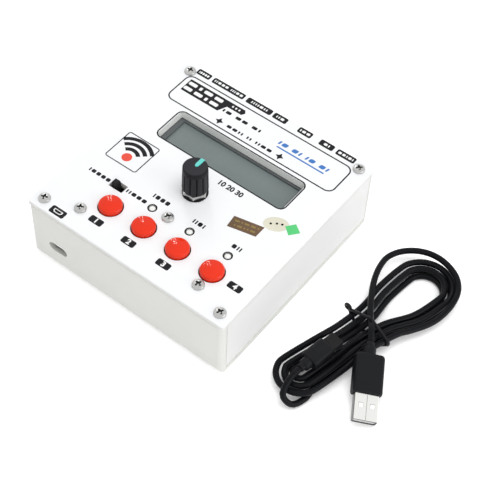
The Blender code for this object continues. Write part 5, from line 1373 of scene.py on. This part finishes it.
        def shaded(centre, normal):
            local, way = (centre - origin) @ turn, normal @ turn
            inward = (local[:, 1:] * way[:, 1:]).sum(axis=1) < 0
            return (np.abs(way[:, 1]) > 0.8) | (way[:, 0] > 0.5) | inward

        paint(shell, shell_side(), shaded)
        holes = self.latch_holes(matrix, start, height, skin)
        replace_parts(shell, "usb_plug_shell")
        tongue = dressed("usb_plug_tongue", tongue_white())
        seam = self.seam(matrix, start, length, height)
        return [grip, tongue, seam, shell, holes]

    def small_plug(self, matrix):
        """The grip and the dark shell."""
        grip = self.grip("small_plug_grip", matrix, *in_mm(*SMALL_GRIP))
        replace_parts(grip, "small_plug_body")
        shell = self.mouth("small_shell", matrix, *in_mm(*SMALL_SHELL), inner_black())
        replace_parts(shell, "small_plug_shell")
        return [grip, shell]


def soft_light(name, at, aim, wide, power, high=None):
    """An area lamp at a point, turned to look at another."""
    data = bpy.data.lights.new(name, "AREA")
    data.shape = "RECTANGLE"
    data.size, data.size_y = wide, high or wide
    data.energy = power
    held = bpy.data.objects.new(name, data)
    bpy.context.scene.collection.objects.link(held)
    held.location = at
    held.rotation_mode = "QUATERNION"
    held.rotation_quaternion = (Vector(aim) - Vector(at)).to_track_quat("-Z", "Y")
    return held


def seen_share(tree, unseen, seen):
    """A value for what the camera sees, straight, mirrored or through glass, and another
    for all other light: unseen + (seen - unseen) min(1, camera + glossy + transmitted)."""
    path = tree.nodes.new("ShaderNodeLightPath").outputs
    total = path["Is Camera Ray"]
    for label in ("Is Glossy Ray", "Is Transmission Ray"):
        total = math_node(tree, "ADD", total, path[label], clamp=True)
    return math_node(tree, "MULTIPLY_ADD", total, seen - unseen, unseen)


class KEYER_OT_stage(Operator):
    """Camera, soft lamps, pale bench and a white surround"""
    bl_idname = "keyer.stage"
    bl_label = "Stage"

    def execute(self, context):
        scene = context.scene
        scene.view_settings.view_transform = "Standard"
        self.camera(scene)
        self.bench()
        self.surround(scene)
        aim = (0.02, 0.0, 0.03)
        key = soft_light("key_lamp", (0.18, 0.02, 0.85), aim, 0.5, 3.2)
        soft_light("side_lamp", (0.9, 0.1, 0.35), aim, 0.5, 1.9)
        soft_light("left_strip", (-0.572, 0.456, 0.542), aim, 0.01, 0.35, high=0.36)
        soft_light("right_strip", (-0.504, 0.508, 0.5445), aim, 0.01, 0.35, high=0.36)
        front = soft_light("front_strip", (0.43, -0.56, 0.42), aim, 0.4, 0.7, high=0.04)
        key.visible_glossy = front.visible_glossy = False
        return {"FINISHED"}

    def camera(self, scene):
        """The photo's camera: its lens, shift, place and three axes as fitted to the photo."""
        data = bpy.data.cameras.new("view")
        data.sensor_width = 36.0
        data.lens = 94.97
        data.shift_x, data.shift_y = -0.00198, 0.00046
        data.clip_start, data.clip_end = 0.01, 10.0
        held = bpy.data.objects.new("view", data)
        scene.collection.objects.link(held)
        right = Vector((0.79445, 0.60616, 0.03772))
        down = Vector((0.49884, -0.61584, -0.60983))
        ahead = Vector((-0.34643, 0.5033, -0.79163))
        turn = Matrix((right, -down, -ahead)).transposed()
        held.matrix_world = Matrix.Translation(Vector((0.22804, -0.29245, 0.47052))) @ (
            turn.to_4x4())
        scene.camera = held

    def bench(self):
        """A pale plane that glows only in what the camera sees. Within a few millimetres of
        a piece, and only to the right of the box, the glow gives way to the piece's shade:
        strength = seen share * max(open share, 1 where x < limit)."""
        look = bpy.data.materials.new("bench_white")
        look.use_nodes = True
        tree = look.node_tree
        shader = tree.nodes["Principled BSDF"]
        shader.inputs["Base Color"].default_value = (0.9, 0.9, 0.9, 1.0)
        shader.inputs["Roughness"].default_value = 0.7
        shader.inputs["Emission Color"].default_value = (1.0, 1.0, 1.0, 1.0)
        near = tree.nodes.new("ShaderNodeAmbientOcclusion")
        near.inputs["Distance"].default_value = 0.007
        where = tree.nodes.new("ShaderNodeTexCoord")
        parts = tree.nodes.new("ShaderNodeSeparateXYZ")
        tree.links.new(where.outputs["Object"], parts.inputs[0])
        left = math_node(tree, "LESS_THAN", parts.outputs["X"], 0.058)
        lit = math_node(tree, "MAXIMUM", near.outputs["AO"], left)
        glow = math_node(tree, "MULTIPLY", seen_share(tree, 0.0, 0.45), lit)
        tree.links.new(glow, shader.inputs["Emission Strength"])
        corners = [(-3.0, -3.0, 0.0), (3.0, -3.0, 0.0), (3.0, 3.0, 0.0), (-3.0, 3.0, 0.0)]
        make_object("bench", corners, [[0, 1, 2, 3]], look, False, rides=None)

    def surround(self, scene):
        """A surround that the camera sees as white and the object as a dimmer one."""
        world = bpy.data.worlds.new("surround")
        scene.world = world
        world.use_nodes = True
        tree = world.node_tree
        shader = tree.nodes["Background"]
        shader.inputs["Color"].default_value = (1.0, 1.0, 1.0, 1.0)
        tree.links.new(seen_share(tree, 0.55, 1.0), shader.inputs["Strength"])


CLASSES = (
    KeyerSizes, KeyerColours, KeyerLead, KEYER_OT_stage, KEYER_OT_lead, KEYER_OT_case,
    KEYER_OT_prints, KEYER_OT_screws, KEYER_OT_buttons, KEYER_OT_knob, KEYER_OT_lamps,
    KEYER_OT_switch, KEYER_OT_display, KEYER_OT_inside,
)


class KEYER_PT_sidebar(Panel):
    """Lists the steps that dress the keyer"""
    bl_idname = "KEYER_PT_sidebar"
    bl_label = "Keyer"
    bl_space_type = "VIEW_3D"
    bl_region_type = "UI"
    bl_category = "Keyer"

    def draw(self, context):
        for step in CLASSES:
            if issubclass(step, Operator):
                self.layout.operator(step.bl_idname)
        for group in (context.scene.keyer_sizes, context.scene.keyer_colours,
                      context.scene.keyer_lead):
            box = self.layout.box()
            for label in group.bl_rna.properties.keys():
                if label not in ("rna_type", "name"):
                    box.prop(group, label)


def register():
    for kind in (*CLASSES, KEYER_PT_sidebar):
        bpy.utils.register_class(kind)
    bpy.types.Scene.keyer_sizes = PointerProperty(type=KeyerSizes)
    bpy.types.Scene.keyer_colours = PointerProperty(type=KeyerColours)
    bpy.types.Scene.keyer_lead = PointerProperty(type=KeyerLead)


def unregister():
    for label in ("keyer_sizes", "keyer_colours", "keyer_lead"):
        delattr(bpy.types.Scene, label)
    for kind in (KEYER_PT_sidebar, *reversed(CLASSES)):
        bpy.utils.unregister_class(kind)


def main():
    """Runs every step in its order."""
    register()
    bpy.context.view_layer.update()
    for step in CLASSES:
        if issubclass(step, Operator):
            group, label = step.bl_idname.split(".")
            getattr(getattr(bpy.ops, group), label)()


if __name__ == "__main__":
    main()
